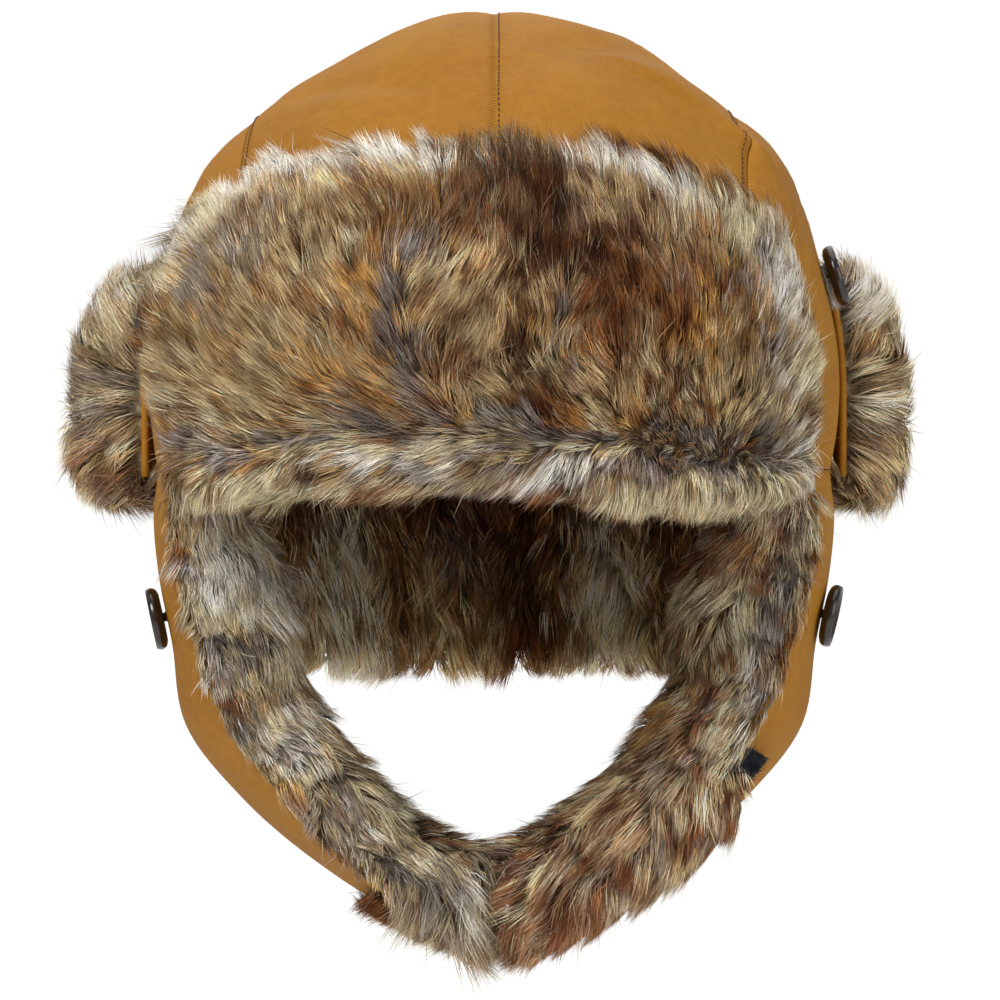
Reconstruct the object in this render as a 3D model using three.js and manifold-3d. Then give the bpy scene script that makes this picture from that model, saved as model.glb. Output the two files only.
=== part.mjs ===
// A trapper-style winter cap: a woven shell, a turned-up fur front flap, fur-lined ear flaps that meet
// under the chin, a neck guard, a turned-up fur cuff round the sides and back, and four coat buttons.
// Millimetres, +Z up. The face looks along -Y. Left and right are as seen from the front, so right is +X.
// The origin is inside the top of the crown, where the head bears.
import * as THREE from "three";
import { mergeVertices } from "three/addons/utils/BufferGeometryUtils.js";
import Module from "manifold-3d";

const wasm = await Module();
wasm.setup();

// Driving dimensions. Heights are measured from the level of the brow fold, before the cap is moved to
// its origin.
const FABRIC = 2;
const GAP = 0.3;
const WIDE_GAP = 0.8;
const CROWN = { halfWidth: 110, halfDepth: 122, widest: 36, height: 120, rim: 10 };
const SHOULDER = { x: 87, reach: 15, left: 3.5, right: 3.5, from: 60, to: 95 };
const SEAM = { sideX: 76, gap: 0.6, pinch: 1.1, reach: 7 };
const REAR_SEAM_DEG = 120;
const END_HEIGHT = 8;
const FRONT_FLAP = {
  wrapLeftDeg: 56,
  wrapRightDeg: 52,
  low: 9,
  topMiddle: 91,
  topDrop: 20,
  topCurve: 3.5,
  standOff: 4,
};
const CUFF = { startDeg: 92, low: 8, top: 67, standOff: 3.4, flare: 0.8, flareDeg: 16 };
const BUTTON = { radius: 10, thickness: 4, dish: 1.1, rim: 1.6, holeRadius: 0.9, holeSpacing: 1.9 };
const SHANK = { topRadius: 1.5, footRadius: 1.8 };
const LOOP = { reach: 16, halfWidth: 3.6, cord: 0.45, lift: 0.75 };
const CROWN_BUTTON = { azimuthDeg: 82, leftZ: 61, rightZ: 70, lean: 0.05, standOff: 3 };
const FLAP_BUTTON = { section: 3.6, leftAcross: 0.36, rightAcross: 0.28, standOff: 2 };
const PATCH = { hookThickness: 1.5, chinThickness: 1.3 };
// Where an ear flap's front edge locks begin and are full, by section, and how much more they grow by
// the chin.
const EDGE_GROWTH = { from: 1.2, full: 2.6, chinFrom: 7, chinFull: 8.6, chinExtra: 0.9 };
const SEAT = CROWN.widest + CROWN.height - FABRIC / 2;

const COLOUR = { shell: 0xb9813a, fur: 0x8a6f4c, button: 0x1d1512, elastic: 0xc9c7c3, hook: 0x16181c };

// Folds of the crown fabric, as a line from one point to another with its half-width and its rise.
const FOLDS = [
  { from: [36, -64, 133], to: [80, -48, 106], width: 5, rise: 2.6 },
  { from: [-45, -40, 137], to: [-45, 40, 137], width: 22, rise: -3.2 },
  { from: [-60, -44, 127], to: [-26, -78, 125], width: 7, rise: -2.4 },
  { from: [20, -62, 142], to: [62, -22, 137], width: 9, rise: -1.8 },
  { from: [-84, -20, 112], to: [-50, 20, 142], width: 9, rise: -1.6 },
  { from: [88, 10, 108], to: [52, 60, 130], width: 8, rise: -1.8 },
  { from: [-30, 70, 132], to: [-72, 78, 96], width: 9, rise: 2 },
];

// Sections of an ear flap from the top of its lining to near its tip: the points where its front edge,
// its middle and its rear edge cross the section. X is measured towards the flap's own side.
const FLAP_SECTIONS = [
  { name: "lining top", front: [97.6, -56.3, 36], middle: [110, 2, 36], rear: [95.3, 61, 36] },
  { name: "crown rim", front: [95.8, -54, 9.4], middle: [107.4, 2, 9.4], rear: [93, 59.6, 9.4] },
  { name: "temple", front: [98, -54, -4], middle: [108, 0, -6], rear: [92.5, 58.5, -8] },
  { name: "ear", front: [97.5, -53, -19], middle: [105.8, -3, -26], rear: [91, 54, -30] },
  { name: "ear lobe", front: [92, -52, -38], middle: [101.8, -6, -48], rear: [87.5, 48, -54] },
  { name: "jaw corner", front: [84, -51, -62], middle: [98, -9, -72], rear: [82, 36, -74] },
  { name: "jaw", front: [69, -51, -84], middle: [80, -12, -95], rear: [69, 24, -95] },
  { name: "under jaw", front: [50, -51, -105], middle: [56, -15, -115], rear: [50, 14, -113] },
  { name: "chin", front: [27, -52, -122], middle: [30, -18, -130], rear: [27, 8, -128] },
];
const RIM_SECTION = 1;
const NECK_SECTION = 3.95;
// The upper flap stops at the middle of the chin. The lower one goes on underneath it.
const UPPER_TIP = [{ name: "tip", front: [-1.5, -52, -130], middle: [-1.5, -20, -136], rear: [-1.5, 5, -134] }];
const LOWER_TIP = [
  { name: "middle", front: [4, -49, -134.5], middle: [4, -20, -141], rear: [4, 5, -139] },
  { name: "lapped", front: [-20, -46, -133], middle: [-20, -18, -139], rear: [-20, 6, -137] },
  { name: "tip", front: [-40, -43, -123], middle: [-40, -18, -131], rear: [-40, 6, -129] },
];

// Fur profiles, across the fur from its first edge to its second. v runs from 0 at the first edge to 1
// at the second, over is how far a point lies past an edge, and height is above the fabric's middle.
// The lock columns say what a full lock adds, and shift puts a row's locks between those of the last.
// A row that grows at the front or rear edge has the height tucked where its locks don't grow.
const FRONT_FUR = [
  { v: 0, over: -2, height: 2.5 },
  { v: 0, over: -5, height: 11, lockOver: -8, lockHeight: 2 },
  { v: 0.02, height: 25, lockHeight: 4, shift: 1 },
  { v: 0.16, height: 17 },
  { v: 0.25, height: 24, lockHeight: 3 },
  { v: 0.36, height: 22, lockV: 0.09, lockHeight: 6 },
  { v: 0.39, height: 17 },
  { v: 0.48, height: 23 },
  { v: 0.57, height: 20, lockV: 0.09, lockHeight: 6, shift: 1 },
  { v: 0.6, height: 15 },
  { v: 0.7, height: 20 },
  { v: 0.8, height: 17, lockV: 0.08, lockHeight: 6 },
  { v: 0.83, height: 12 },
  { v: 0.93, height: 15 },
  { v: 1, over: 3, height: 9, lockOver: 10, lockHeight: 2, shift: 1 },
  { v: 1, over: 1, height: 2 },
  { v: 0.75, height: 2 },
  { v: 0.5, height: 2 },
  { v: 0.25, height: 2 },
];
const EAR_FUR = [
  { v: 0, height: 3.2 },
  { v: 0, over: -2.5, height: 0, tucked: 4.5, grows: "front" },
  { v: 0, over: -5, height: -3, lockOver: -5, lockHeight: -5, tucked: 6, grows: "front" },
  { v: 0, over: -6, height: 8, lockOver: -4, tucked: 12, grows: "front" },
  { v: 0, over: -2, height: 22, lockHeight: 6, lockOver: -3, shift: 1 },
  { v: 0.13, height: 22 },
  { v: 0.24, height: 24, lockHeight: 5 },
  { v: 0.36, height: 20 },
  { v: 0.5, height: 22, lockHeight: 5, shift: 1 },
  { v: 0.66, height: 19 },
  { v: 0.8, height: 20, lockHeight: 4 },
  { v: 0.95, height: 14 },
  { v: 0.975, height: 8, lockOver: 11, lockHeight: 1, shift: 1, tucked: 8, grows: "rear" },
  { v: 0.975, height: 3.2 },
  { v: 0.66, height: 3.2 },
  { v: 0.33, height: 3.2 },
];
const NECK_FUR = [
  { v: 0, height: 3.6 },
  { v: 0, height: 12, lockHeight: 3 },
  { v: 0.2, height: 22, lockHeight: 3, shift: 1 },
  { v: 0.34, height: 22, lockV: 0.08, lockHeight: 4 },
  { v: 0.38, height: 17 },
  { v: 0.5, height: 22 },
  { v: 0.63, height: 20, lockV: 0.09, lockHeight: 4, shift: 1 },
  { v: 0.67, height: 15 },
  { v: 0.82, height: 19 },
  { v: 1, over: 1, height: 13, lockOver: 9 },
  { v: 1, over: 2, height: 6, lockOver: 7, shift: 1 },
  { v: 1, over: 1, height: 3.2 },
  { v: 0.67, height: 3.2 },
  { v: 0.33, height: 3.6 },
];
const CUFF_FUR = [
  { v: 0, over: -1, height: 2 },
  { v: 0, over: -4, height: 8, lockOver: -9, lockHeight: 3 },
  { v: 0.04, height: 23, lockHeight: 4, shift: 1 },
  { v: 0.18, height: 22 },
  { v: 0.22, height: 26, lockV: -0.04, lockHeight: 4 },
  { v: 0.4, height: 24, shift: 1 },
  { v: 0.5, height: 26, lockV: 0.08, lockHeight: 4, shift: 1 },
  { v: 0.55, height: 21 },
  { v: 0.68, height: 24 },
  { v: 0.78, height: 23, lockV: 0.08, lockHeight: 4 },
  { v: 0.82, height: 18 },
  { v: 0.94, height: 20 },
  { v: 1, over: 2, height: 13, lockOver: 11, lockHeight: 3, shift: 1 },
  { v: 1, over: 1, height: 2 },
  { v: 0.66, height: 2 },
  { v: 0.33, height: 2 },
];

// A repeatable random number from 0 to 1 for a whole number.
function scatter(seed) {
  const value = Math.sin(seed * 12.9898 + 4.1414) * 43758.5453;
  return value - Math.floor(value);
}

const { degToRad, lerp, clamp, smoothstep } = THREE.MathUtils;

// A shell's outward side is the one that faces away from this point on the head's axis.
function headAxis(point) {
  return new THREE.Vector3(0, 0, clamp(point.z, -60, 60));
}

function domeNormal(point) {
  return new THREE.Vector3(
    point.x / CROWN.halfWidth ** 2,
    point.y / CROWN.halfDepth ** 2,
    (point.z - CROWN.widest) / CROWN.height ** 2,
  ).normalize();
}

// How far the crown fabric stands out of the plain dome: its folds, its seams drawn in, a slight wave.
function relief(point) {
  let rise = 0.5 * Math.sin(point.x * 0.09 + point.y * 0.05) * Math.sin(point.z * 0.07 + point.y * 0.04);
  for (const fold of FOLDS) {
    const line = new THREE.Line3(new THREE.Vector3(...fold.from), new THREE.Vector3(...fold.to));
    const near = line.closestPointToPoint(point, true, new THREE.Vector3());
    rise += fold.rise * Math.exp(-((near.distanceTo(point) / fold.width) ** 2));
  }
  for (const seamX of [0, SEAM.sideX]) {
    rise -= SEAM.pinch * Math.exp(-(((Math.abs(point.x) - seamX) / SEAM.reach) ** 2));
  }
  const fromShoulder = (Math.abs(point.x) - SHOULDER.x) / SHOULDER.reach;
  const shoulder = (point.x < 0 ? SHOULDER.left : SHOULDER.right) * Math.exp(-(fromShoulder ** 2));
  rise += shoulder * smoothstep(point.z, SHOULDER.from, SHOULDER.to);
  return rise * smoothstep(point.z, CROWN.rim, CROWN.rim + 20);
}

function withRelief(point) {
  return point.clone().addScaledVector(domeNormal(point), relief(point));
}

// The plain dome at an azimuth from the front and a height.
function dome(azimuth, z) {
  const ring = Math.sqrt(Math.max(0, 1 - ((z - CROWN.widest) / CROWN.height) ** 2));
  const x = CROWN.halfWidth * ring * Math.sin(azimuth);
  const y = -CROWN.halfDepth * ring * Math.cos(azimuth);
  return new THREE.Vector3(x, y, z);
}

// A top panel: u runs from the brow over the top to the back, and v from the centre seam outwards.
function topPanel(side) {
  return (u, v) => {
    const x = side * lerp(SEAM.gap / 2, SEAM.sideX - SEAM.gap / 2, v);
    const ring = Math.sqrt(1 - (x / CROWN.halfWidth) ** 2);
    const start = Math.asin((CROWN.rim - CROWN.widest) / (CROWN.height * ring));
    const turn = lerp(start, Math.PI - start, u);
    const y = -CROWN.halfDepth * ring * Math.cos(turn);
    const z = CROWN.widest + CROWN.height * ring * Math.sin(turn);
    return withRelief(new THREE.Vector3(x, y, z));
  };
}

// A side panel: u runs from front to back, and v from the rim up to the side seam.
function sidePanel(side) {
  const seamX = SEAM.sideX + SEAM.gap / 2;
  const low = Math.asin((CROWN.rim - CROWN.widest) / CROWN.height);
  const start = Math.asin(seamX / (CROWN.halfWidth * Math.cos(low)));
  return (u, v) => {
    const azimuth = lerp(start, Math.PI - start, u);
    const share = Math.min(1, seamX / (CROWN.halfWidth * Math.sin(azimuth)));
    const climb = lerp(low, Math.acos(share), v);
    return withRelief(dome(side * azimuth, CROWN.widest + CROWN.height * Math.sin(climb)));
  };
}

// A smooth line through one named point of each section.
function edgeLine(sections, column) {
  return new THREE.CatmullRomCurve3(sections.map((s) => new THREE.Vector3(...s[column])));
}

// An ear flap: u runs from section first to section last, and v from the front edge to the rear edge.
function earFlap(side, sections, first, last) {
  const lines = ["front", "middle", "rear"].map((column) => edgeLine(sections, column));
  return (u, v) => {
    const along = lerp(first, last, u) / (sections.length - 1);
    const [front, middle, rear] = lines.map((line) => line.getPoint(along));
    const pull = middle.multiplyScalar(2).sub(front.clone().add(rear).multiplyScalar(0.5));
    const point = new THREE.QuadraticBezierCurve3(front, pull, rear).getPoint(v);
    return point.setX(point.x * side);
  };
}

// The back of the skirt: u runs round from one rear seam to the other, and v from section first down.
function neckGuard(first, last) {
  const rearLine = edgeLine([...FLAP_SECTIONS, ...UPPER_TIP], "rear");
  const seam = degToRad(REAR_SEAM_DEG);
  const inset = degToRad(0.35);
  return (u, v) => {
    const rear = rearLine.getPoint(lerp(first, last, v) / FLAP_SECTIONS.length);
    const azimuth = lerp(seam + inset, 2 * Math.PI - seam - inset, u);
    const x = (rear.x * Math.sin(azimuth)) / Math.sin(seam);
    const y = (rear.y * Math.cos(azimuth)) / Math.cos(seam);
    return new THREE.Vector3(x, y, rear.z);
  };
}

// The turned-up front flap: u runs from one end to the other, and v from its fold up to its top edge.
function frontFlap(u, v) {
  const across = 2 * u - 1;
  const top = FRONT_FLAP.topMiddle - FRONT_FLAP.topDrop * Math.abs(across) ** FRONT_FLAP.topCurve;
  const azimuth = degToRad(lerp(-FRONT_FLAP.wrapLeftDeg, FRONT_FLAP.wrapRightDeg, u));
  const point = dome(azimuth, lerp(FRONT_FLAP.low, top, v));
  return point.addScaledVector(domeNormal(point), FRONT_FLAP.standOff);
}

// The turned-up cuff: u runs round the back from one end to the other, and v from its fold upwards.
function cuff(u, v) {
  const start = degToRad(CUFF.startDeg);
  const azimuth = lerp(start, 2 * Math.PI - start, u);
  const fromEnd = Math.min(azimuth - start, 2 * Math.PI - start - azimuth);
  const flare = CUFF.flare * (1 - smoothstep(fromEnd, 0, degToRad(CUFF.flareDeg)));
  const point = dome(azimuth, Math.max(lerp(CUFF.low, CUFF.top, v), CROWN.widest));
  const out = domeNormal(point).multiplyScalar(CUFF.standOff + flare);
  return point.setZ(lerp(CUFF.low, CUFF.top, v)).add(out);
}

// A surface's outward normal and its direction along v.
function tangents(surface, u, v) {
  const step = 1e-3;
  const along = surface(Math.min(1, u + step), v).sub(surface(Math.max(0, u - step), v));
  const across = surface(u, Math.min(1, v + step)).sub(surface(u, Math.max(0, v - step))).normalize();
  const normal = along.cross(across).normalize();
  const point = surface(u, v);
  if (normal.dot(point.clone().sub(headAxis(point))) < 0) normal.negate();
  return { point, normal, across };
}

// A point at a height above a surface, and at a distance past its edge where over isn't zero.
function lifted(surface, u, v, height, over = 0) {
  const { point, normal, across } = tangents(surface, u, v);
  return point.addScaledVector(normal, height).addScaledVector(across, over);
}

// A geometry from corner points and triangles, turned so that its faces point out.
function closedGeometry(points, triangles) {
  let volume = 0;
  for (const [a, b, c] of triangles) {
    volume += points[a].dot(points[b].clone().cross(points[c]));
  }
  const index = triangles.flatMap(([a, b, c]) => (volume < 0 ? [a, c, b] : [a, b, c]));
  const geometry = new THREE.BufferGeometry().setFromPoints(points);
  geometry.setIndex(index);
  return geometry;
}

// A sheet of even thickness on a part of a surface, from height low to height high.
function sheet(surface, uCount, vCount, low, high, span = { u: [0, 1], v: [0, 1] }) {
  const points = [];
  const triangles = [];
  const columns = vCount + 1;
  const layer = (uCount + 1) * columns;
  for (const height of [low, high]) {
    for (let i = 0; i <= uCount; i++) {
      for (let j = 0; j <= vCount; j++) {
        const u = lerp(...span.u, i / uCount);
        const v = lerp(...span.v, j / vCount);
        points.push(lifted(surface, u, v, height));
      }
    }
  }
  const quad = (a, b, c, d) => triangles.push([a, b, c], [a, c, d]);
  for (let i = 0; i < uCount; i++) {
    for (let j = 0; j < vCount; j++) {
      const a = i * columns + j;
      quad(a, a + 1, a + columns + 1, a + columns);
      quad(layer + a, layer + a + columns, layer + a + columns + 1, layer + a + 1);
    }
  }
  const rims = [
    ...Array.from({ length: uCount }, (_, i) => [i * columns, (i + 1) * columns]),
    ...Array.from({ length: vCount }, (_, j) => [uCount * columns + j, uCount * columns + j + 1]),
    ...Array.from({ length: uCount }, (_, i) => [(i + 1) * columns + vCount, i * columns + vCount]),
    ...Array.from({ length: vCount }, (_, j) => [j + 1, j]),
  ];
  for (const [a, b] of rims) quad(a, b, layer + b, layer + a);
  return closedGeometry(points, triangles);
}

// Fur in rows of locks, fused to a backing that lies on a surface. The rings run across the fur, and
// every second ring runs through the middle of a lock. face is 1 for fur on the outward side and -1 for
// a lining. growth gives how freely the locks marked front or rear grow at u.
function furBand(surface, profile, { locks, face, seed, growth = () => 1, swell = () => 1 }) {
  const points = [];
  const triangles = [];
  const rings = 2 * locks;
  const size = profile.length;
  for (let i = 0; i <= rings; i++) {
    const u = i / rings;
    const taper = lerp(0.6, 1, smoothstep(Math.min(i, rings - i), 0, 3));
    profile.forEach((row, j) => {
      const inLock = (i + (row.shift ?? 0)) % 2;
      const lock = inLock * lerp(0.7, 1.15, scatter(seed + i * 31 + j)) * taper;
      const free = row.grows ? growth(row.grows, u) : 1;
      const over = ((row.over ?? 0) + (row.lockOver ?? 0) * lock) * free;
      const grown = row.height + (row.lockHeight ?? 0) * lock;
      const tall = row.grows ? lerp(row.tucked, grown, free) : grown;
      const height = tall > END_HEIGHT ? tall * taper * swell(u) : tall;
      const v = row.v + (row.lockV ?? 0) * lock;
      points.push(lifted(surface, u, v, face * height, over));
    });
  }
  for (let i = 0; i < rings; i++) {
    for (let j = 0; j < size; j++) {
      const [a, b] = [i * size + j, i * size + ((j + 1) % size)];
      triangles.push([a, b, b + size], [a, b + size, a + size]);
    }
  }
  for (const ring of [0, rings]) {
    const centre = points.length;
    points.push(lifted(surface, ring / rings, 0.5, face * END_HEIGHT));
    for (let j = 0; j < size; j++) {
      const [a, b] = [ring * size + j, ring * size + ((j + 1) % size)];
      triangles.push(ring === 0 ? [centre, b, a] : [centre, a, b]);
    }
  }
  return closedGeometry(points, triangles);
}

// A closed geometry as a solid that can be joined and cut.
function toSolid(geometry) {
  const bare = geometry.clone();
  bare.deleteAttribute("normal");
  bare.deleteAttribute("uv");
  const merged = mergeVertices(bare, 1e-4);
  return new wasm.Manifold(
    new wasm.Mesh({
      numProp: 3,
      vertProperties: new Float32Array(merged.attributes.position.array),
      triVerts: new Uint32Array(merged.index.array),
    }),
  );
}

function toGeometry(solid) {
  const mesh = solid.getMesh();
  const geometry = new THREE.BufferGeometry();
  geometry.setAttribute("position", new THREE.BufferAttribute(mesh.vertProperties, 3));
  geometry.setIndex(new THREE.BufferAttribute(mesh.triVerts, 1));
  return geometry;
}

// The part of a closed geometry that lies on one side of the middle of the cap.
function onOneSide(geometry, side) {
  const reach = 2 * CROWN.height;
  const half = new THREE.BoxGeometry(reach, 2 * reach, 4 * reach);
  half.translate(side * (reach / 2 + GAP / 2), 0, 0);
  return toGeometry(toSolid(geometry).intersect(toSolid(half)));
}

// A dished coat button with a raised rim and four holes, its back on the plane z = 0.
function buttonGeometry() {
  const { radius, thickness, dish, rim, holeRadius, holeSpacing } = BUTTON;
  const floor = thickness - dish;
  const profile = [
    [0, 0],
    [radius * 0.76, 0],
    [radius - 0.4, 1.1],
    [radius, thickness * 0.55],
    [radius - 0.5, thickness],
    [radius - rim, thickness],
    [radius - rim - 0.8, floor],
    [0, floor],
  ].map(([x, y]) => new THREE.Vector2(x, y));
  const disc = new THREE.LatheGeometry(profile, 18).rotateX(Math.PI / 2);
  let solid = toSolid(disc);
  for (const [sx, sy] of [[-1, -1], [-1, 1], [1, -1], [1, 1]]) {
    const hole = new THREE.CylinderGeometry(holeRadius, holeRadius, 3 * thickness, 6).rotateX(Math.PI / 2);
    hole.translate(sx * holeSpacing, sy * holeSpacing, 0);
    solid = solid.subtract(toSolid(hole));
  }
  return toGeometry(solid);
}

// An elastic loop that lies flat in the plane z = 0, round a shank at its origin and down to -Y.
function loopGeometry() {
  const { reach, halfWidth, cord } = LOOP;
  const points = [
    [0, halfWidth],
    [halfWidth * 0.8, halfWidth * 0.6],
    [halfWidth, 0],
    [halfWidth * 0.8, -reach * 0.5],
    [halfWidth * 0.5, -reach],
    [0, -reach - 1],
    [-halfWidth * 0.5, -reach],
    [-halfWidth * 0.8, -reach * 0.5],
    [-halfWidth, 0],
    [-halfWidth * 0.8, halfWidth * 0.6],
  ].map(([x, y]) => new THREE.Vector3(x, y, 0));
  const path = new THREE.CatmullRomCurve3(points, true);
  const sides = 6;
  const steps = 18;
  const frames = path.computeFrenetFrames(steps, true);
  const corners = [];
  const triangles = [];
  for (let i = 0; i < steps; i++) {
    const centre = path.getPointAt(i / steps);
    for (let j = 0; j < sides; j++) {
      const turn = (2 * Math.PI * j) / sides;
      const corner = centre.clone().addScaledVector(frames.normals[i], cord * Math.cos(turn));
      corners.push(corner.addScaledVector(frames.binormals[i], cord * Math.sin(turn)));
      const [a, b] = [i * sides + j, i * sides + ((j + 1) % sides)];
      const next = ((i + 1) % steps) * sides - i * sides;
      triangles.push([a, b, b + next], [a, b + next, a + next]);
    }
  }
  return closedGeometry(corners, triangles);
}

function mesh(name, geometry, colour, roughness) {
  const material = new THREE.MeshStandardMaterial({ color: colour, roughness, metalness: 0 });
  const made = new THREE.Mesh(geometry, material);
  made.name = name;
  return made;
}

const shell = (name, geometry) => mesh(name, geometry, COLOUR.shell, 0.6);
const fur = (name, geometry) => mesh(name, geometry, COLOUR.fur, 0.9);

function crown() {
  const group = new THREE.Group();
  for (const [word, side] of [["left", -1], ["right", 1]]) {
    const top = sheet(topPanel(side), 18, 7, -FABRIC / 2, FABRIC / 2);
    const wall = sheet(sidePanel(side), 12, 7, -FABRIC / 2, FABRIC / 2);
    group.add(shell(`crown_center_${word}`, top), shell(`crown_side_${word}`, wall));
  }
  return group;
}

// How freely an ear flap's edge locks grow: the front ones from the temple down, and the rear ones
// where the flap has left the neck guard.
function earGrowth(last) {
  return (edge, u) => {
    const section = u * last;
    if (edge === "rear") return smoothstep(section, NECK_SECTION, NECK_SECTION + 1);
    const { from, full, chinFrom, chinFull, chinExtra } = EDGE_GROWTH;
    return smoothstep(section, from, full) + chinExtra * smoothstep(section, chinFrom, chinFull);
  };
}

function earFlaps() {
  const group = new THREE.Group();
  const flaps = [
    { word: "left", side: -1, tip: UPPER_TIP, furEnd: 9, bulk: 0.45, chin: 1 },
    { word: "right", side: 1, tip: LOWER_TIP, furEnd: 8.95, bulk: 0.65, chin: 1.12 },
  ];
  for (const { word, side, tip, furEnd, bulk, chin } of flaps) {
    const sections = [...FLAP_SECTIONS, ...tip];
    const cloth = earFlap(side, sections, RIM_SECTION, sections.length - 1);
    group.add(shell(`ear_flap_${word}`, sheet(cloth, 18, 5, -FABRIC / 2, FABRIC / 2)));
    const lining = earFlap(side, sections, 0, furEnd);
    const swell = (u) => {
      const section = u * furEnd;
      return lerp(1, chin, smoothstep(section, 2, 7)) + bulk * Math.exp(-(((section - 3.4) / 1.5) ** 2));
    };
    const options = { locks: 16, face: -1, seed: 40 * side, growth: earGrowth(furEnd), swell };
    group.add(fur(`ear_fur_${word}`, onOneSide(furBand(lining, EAR_FUR, options), side)));
  }
  return group;
}

function neck() {
  const group = new THREE.Group();
  const cloth = neckGuard(RIM_SECTION, NECK_SECTION);
  group.add(shell("neck_guard", sheet(cloth, 14, 5, -FABRIC / 2, FABRIC / 2)));
  const lining = neckGuard(0, NECK_SECTION);
  group.add(fur("neck_fur", furBand(lining, NECK_FUR, { locks: 13, face: -1, seed: 7 })));
  return group;
}

function turnedUpFlaps() {
  const group = new THREE.Group();
  group.add(shell("front_flap_backing", sheet(frontFlap, 16, 5, -FABRIC / 2, FABRIC / 2)));
  group.add(fur("front_flap_fur", furBand(frontFlap, FRONT_FUR, { locks: 17, face: 1, seed: 3 })));
  group.add(shell("cuff_backing", sheet(cuff, 22, 4, -FABRIC / 2, FABRIC / 2)));
  const swell = (u) => lerp(1, 1.18, smoothstep(u, 0.75, 1));
  group.add(fur("cuff_fur", furBand(cuff, CUFF_FUR, { locks: 20, face: 1, seed: 11, swell })));
  return group;
}

// A button on its thread shank, standing off a point of the shell, and facing along a direction.
function buttonGroup(word, foot, facing, standOff) {
  const group = new THREE.Group();
  group.position.copy(foot);
  group.quaternion.setFromUnitVectors(new THREE.Vector3(0, 0, 1), facing);
  const button = mesh(word, buttonGeometry(), COLOUR.button, 0.25);
  button.position.z = standOff;
  const shankHeight = standOff - 2 * GAP - FABRIC / 2;
  const shank = new THREE.CylinderGeometry(SHANK.topRadius, SHANK.footRadius, shankHeight, 8);
  shank.rotateX(Math.PI / 2);
  const thread = mesh(`${word}_thread`, shank, COLOUR.button, 0.9);
  thread.position.z = FABRIC / 2 + GAP + shankHeight / 2;
  group.add(button, thread);
  return group;
}

function buttons() {
  const group = new THREE.Group();
  for (const [word, side] of [["left", -1], ["right", 1]]) {
    const z = side < 0 ? CROWN_BUTTON.leftZ : CROWN_BUTTON.rightZ;
    const onCrown = withRelief(dome(side * degToRad(CROWN_BUTTON.azimuthDeg), z));
    const tilt = domeNormal(onCrown).add(new THREE.Vector3(0, 0, CROWN_BUTTON.lean)).normalize();
    group.add(buttonGroup(`crown_button_${word}`, onCrown, tilt, CROWN_BUTTON.standOff));
    const loop = mesh(`button_loop_${word}`, loopGeometry(), COLOUR.elastic, 0.8);
    const cuffCorner = cuff(side > 0 ? 0 : 1, 0.9);
    const away = onCrown.clone().sub(cuffCorner).projectOnPlane(tilt).normalize();
    const axes = new THREE.Matrix4().makeBasis(away.clone().cross(tilt), away, tilt);
    loop.quaternion.setFromRotationMatrix(axes);
    loop.position.copy(onCrown).addScaledVector(tilt, LOOP.lift + FABRIC / 2);
    group.add(loop);
    const flap = earFlap(side, [...FLAP_SECTIONS, ...UPPER_TIP], 0, FLAP_SECTIONS.length);
    const across = side < 0 ? FLAP_BUTTON.leftAcross : FLAP_BUTTON.rightAcross;
    const seat = tangents(flap, FLAP_BUTTON.section / FLAP_SECTIONS.length, across);
    group.add(buttonGroup(`flap_button_${word}`, seat.point, seat.normal, FLAP_BUTTON.standOff));
  }
  return group;
}

// The hook patch by the edge of the lapped flap, and the one that holds the two flap tips together.
function patches() {
  const group = new THREE.Group();
  const flap = earFlap(1, [...FLAP_SECTIONS, ...LOWER_TIP], 0, FLAP_SECTIONS.length + 2);
  const onFlap = { u: [0.505, 0.545], v: [0, 0.16] };
  const outer = FABRIC / 2 + WIDE_GAP;
  const edge = sheet(flap, 3, 2, outer, outer + PATCH.hookThickness, onFlap);
  const lapped = { u: [0.86, 0.96], v: [0.25, 0.75] };
  const under = sheet(flap, 3, 2, -outer - PATCH.chinThickness, -outer, lapped);
  group.add(mesh("hook_patch", edge, COLOUR.hook, 0.9), mesh("chin_patch", under, COLOUR.hook, 0.9));
  return group;
}

const cap = new THREE.Group();
cap.position.z = -SEAT;
cap.add(crown(), earFlaps(), neck(), turnedUpFlaps(), buttons(), patches());
const part = new THREE.Group();
part.add(cap);

export default part;
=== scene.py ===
"""The looks of a winter cap: a cloth shell, fur in combed locks, horn buttons, loops and stitching.

Lengths in the classes are millimetres, and heights are measured from the level of the brow fold. They are
turned into metres and moved to the frame's own place when a mesh is made. X runs to the right as seen from
the front, and the face looks along -Y.
"""
from __future__ import annotations
import logging
import math
from abc import ABC, abstractmethod
from dataclasses import dataclass, field, replace
from enum import Enum
from typing import Callable, Sequence
import bpy
import numpy as np
from mathutils import Matrix, Vector

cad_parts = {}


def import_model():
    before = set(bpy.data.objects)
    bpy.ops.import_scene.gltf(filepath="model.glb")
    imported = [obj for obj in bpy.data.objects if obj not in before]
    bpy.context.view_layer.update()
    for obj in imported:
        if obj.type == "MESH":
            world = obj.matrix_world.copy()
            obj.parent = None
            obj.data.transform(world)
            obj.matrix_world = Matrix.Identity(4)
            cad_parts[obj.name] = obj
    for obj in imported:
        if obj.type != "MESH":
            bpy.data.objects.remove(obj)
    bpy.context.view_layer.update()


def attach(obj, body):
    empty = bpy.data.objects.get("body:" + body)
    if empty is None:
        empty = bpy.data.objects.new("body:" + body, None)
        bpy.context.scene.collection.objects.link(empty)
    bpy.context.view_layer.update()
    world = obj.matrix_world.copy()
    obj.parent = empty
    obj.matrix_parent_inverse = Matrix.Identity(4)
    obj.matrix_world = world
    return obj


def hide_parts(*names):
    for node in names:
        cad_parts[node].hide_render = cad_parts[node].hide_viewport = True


LOG = logging.getLogger("winter_cap")
Array = np.ndarray
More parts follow.
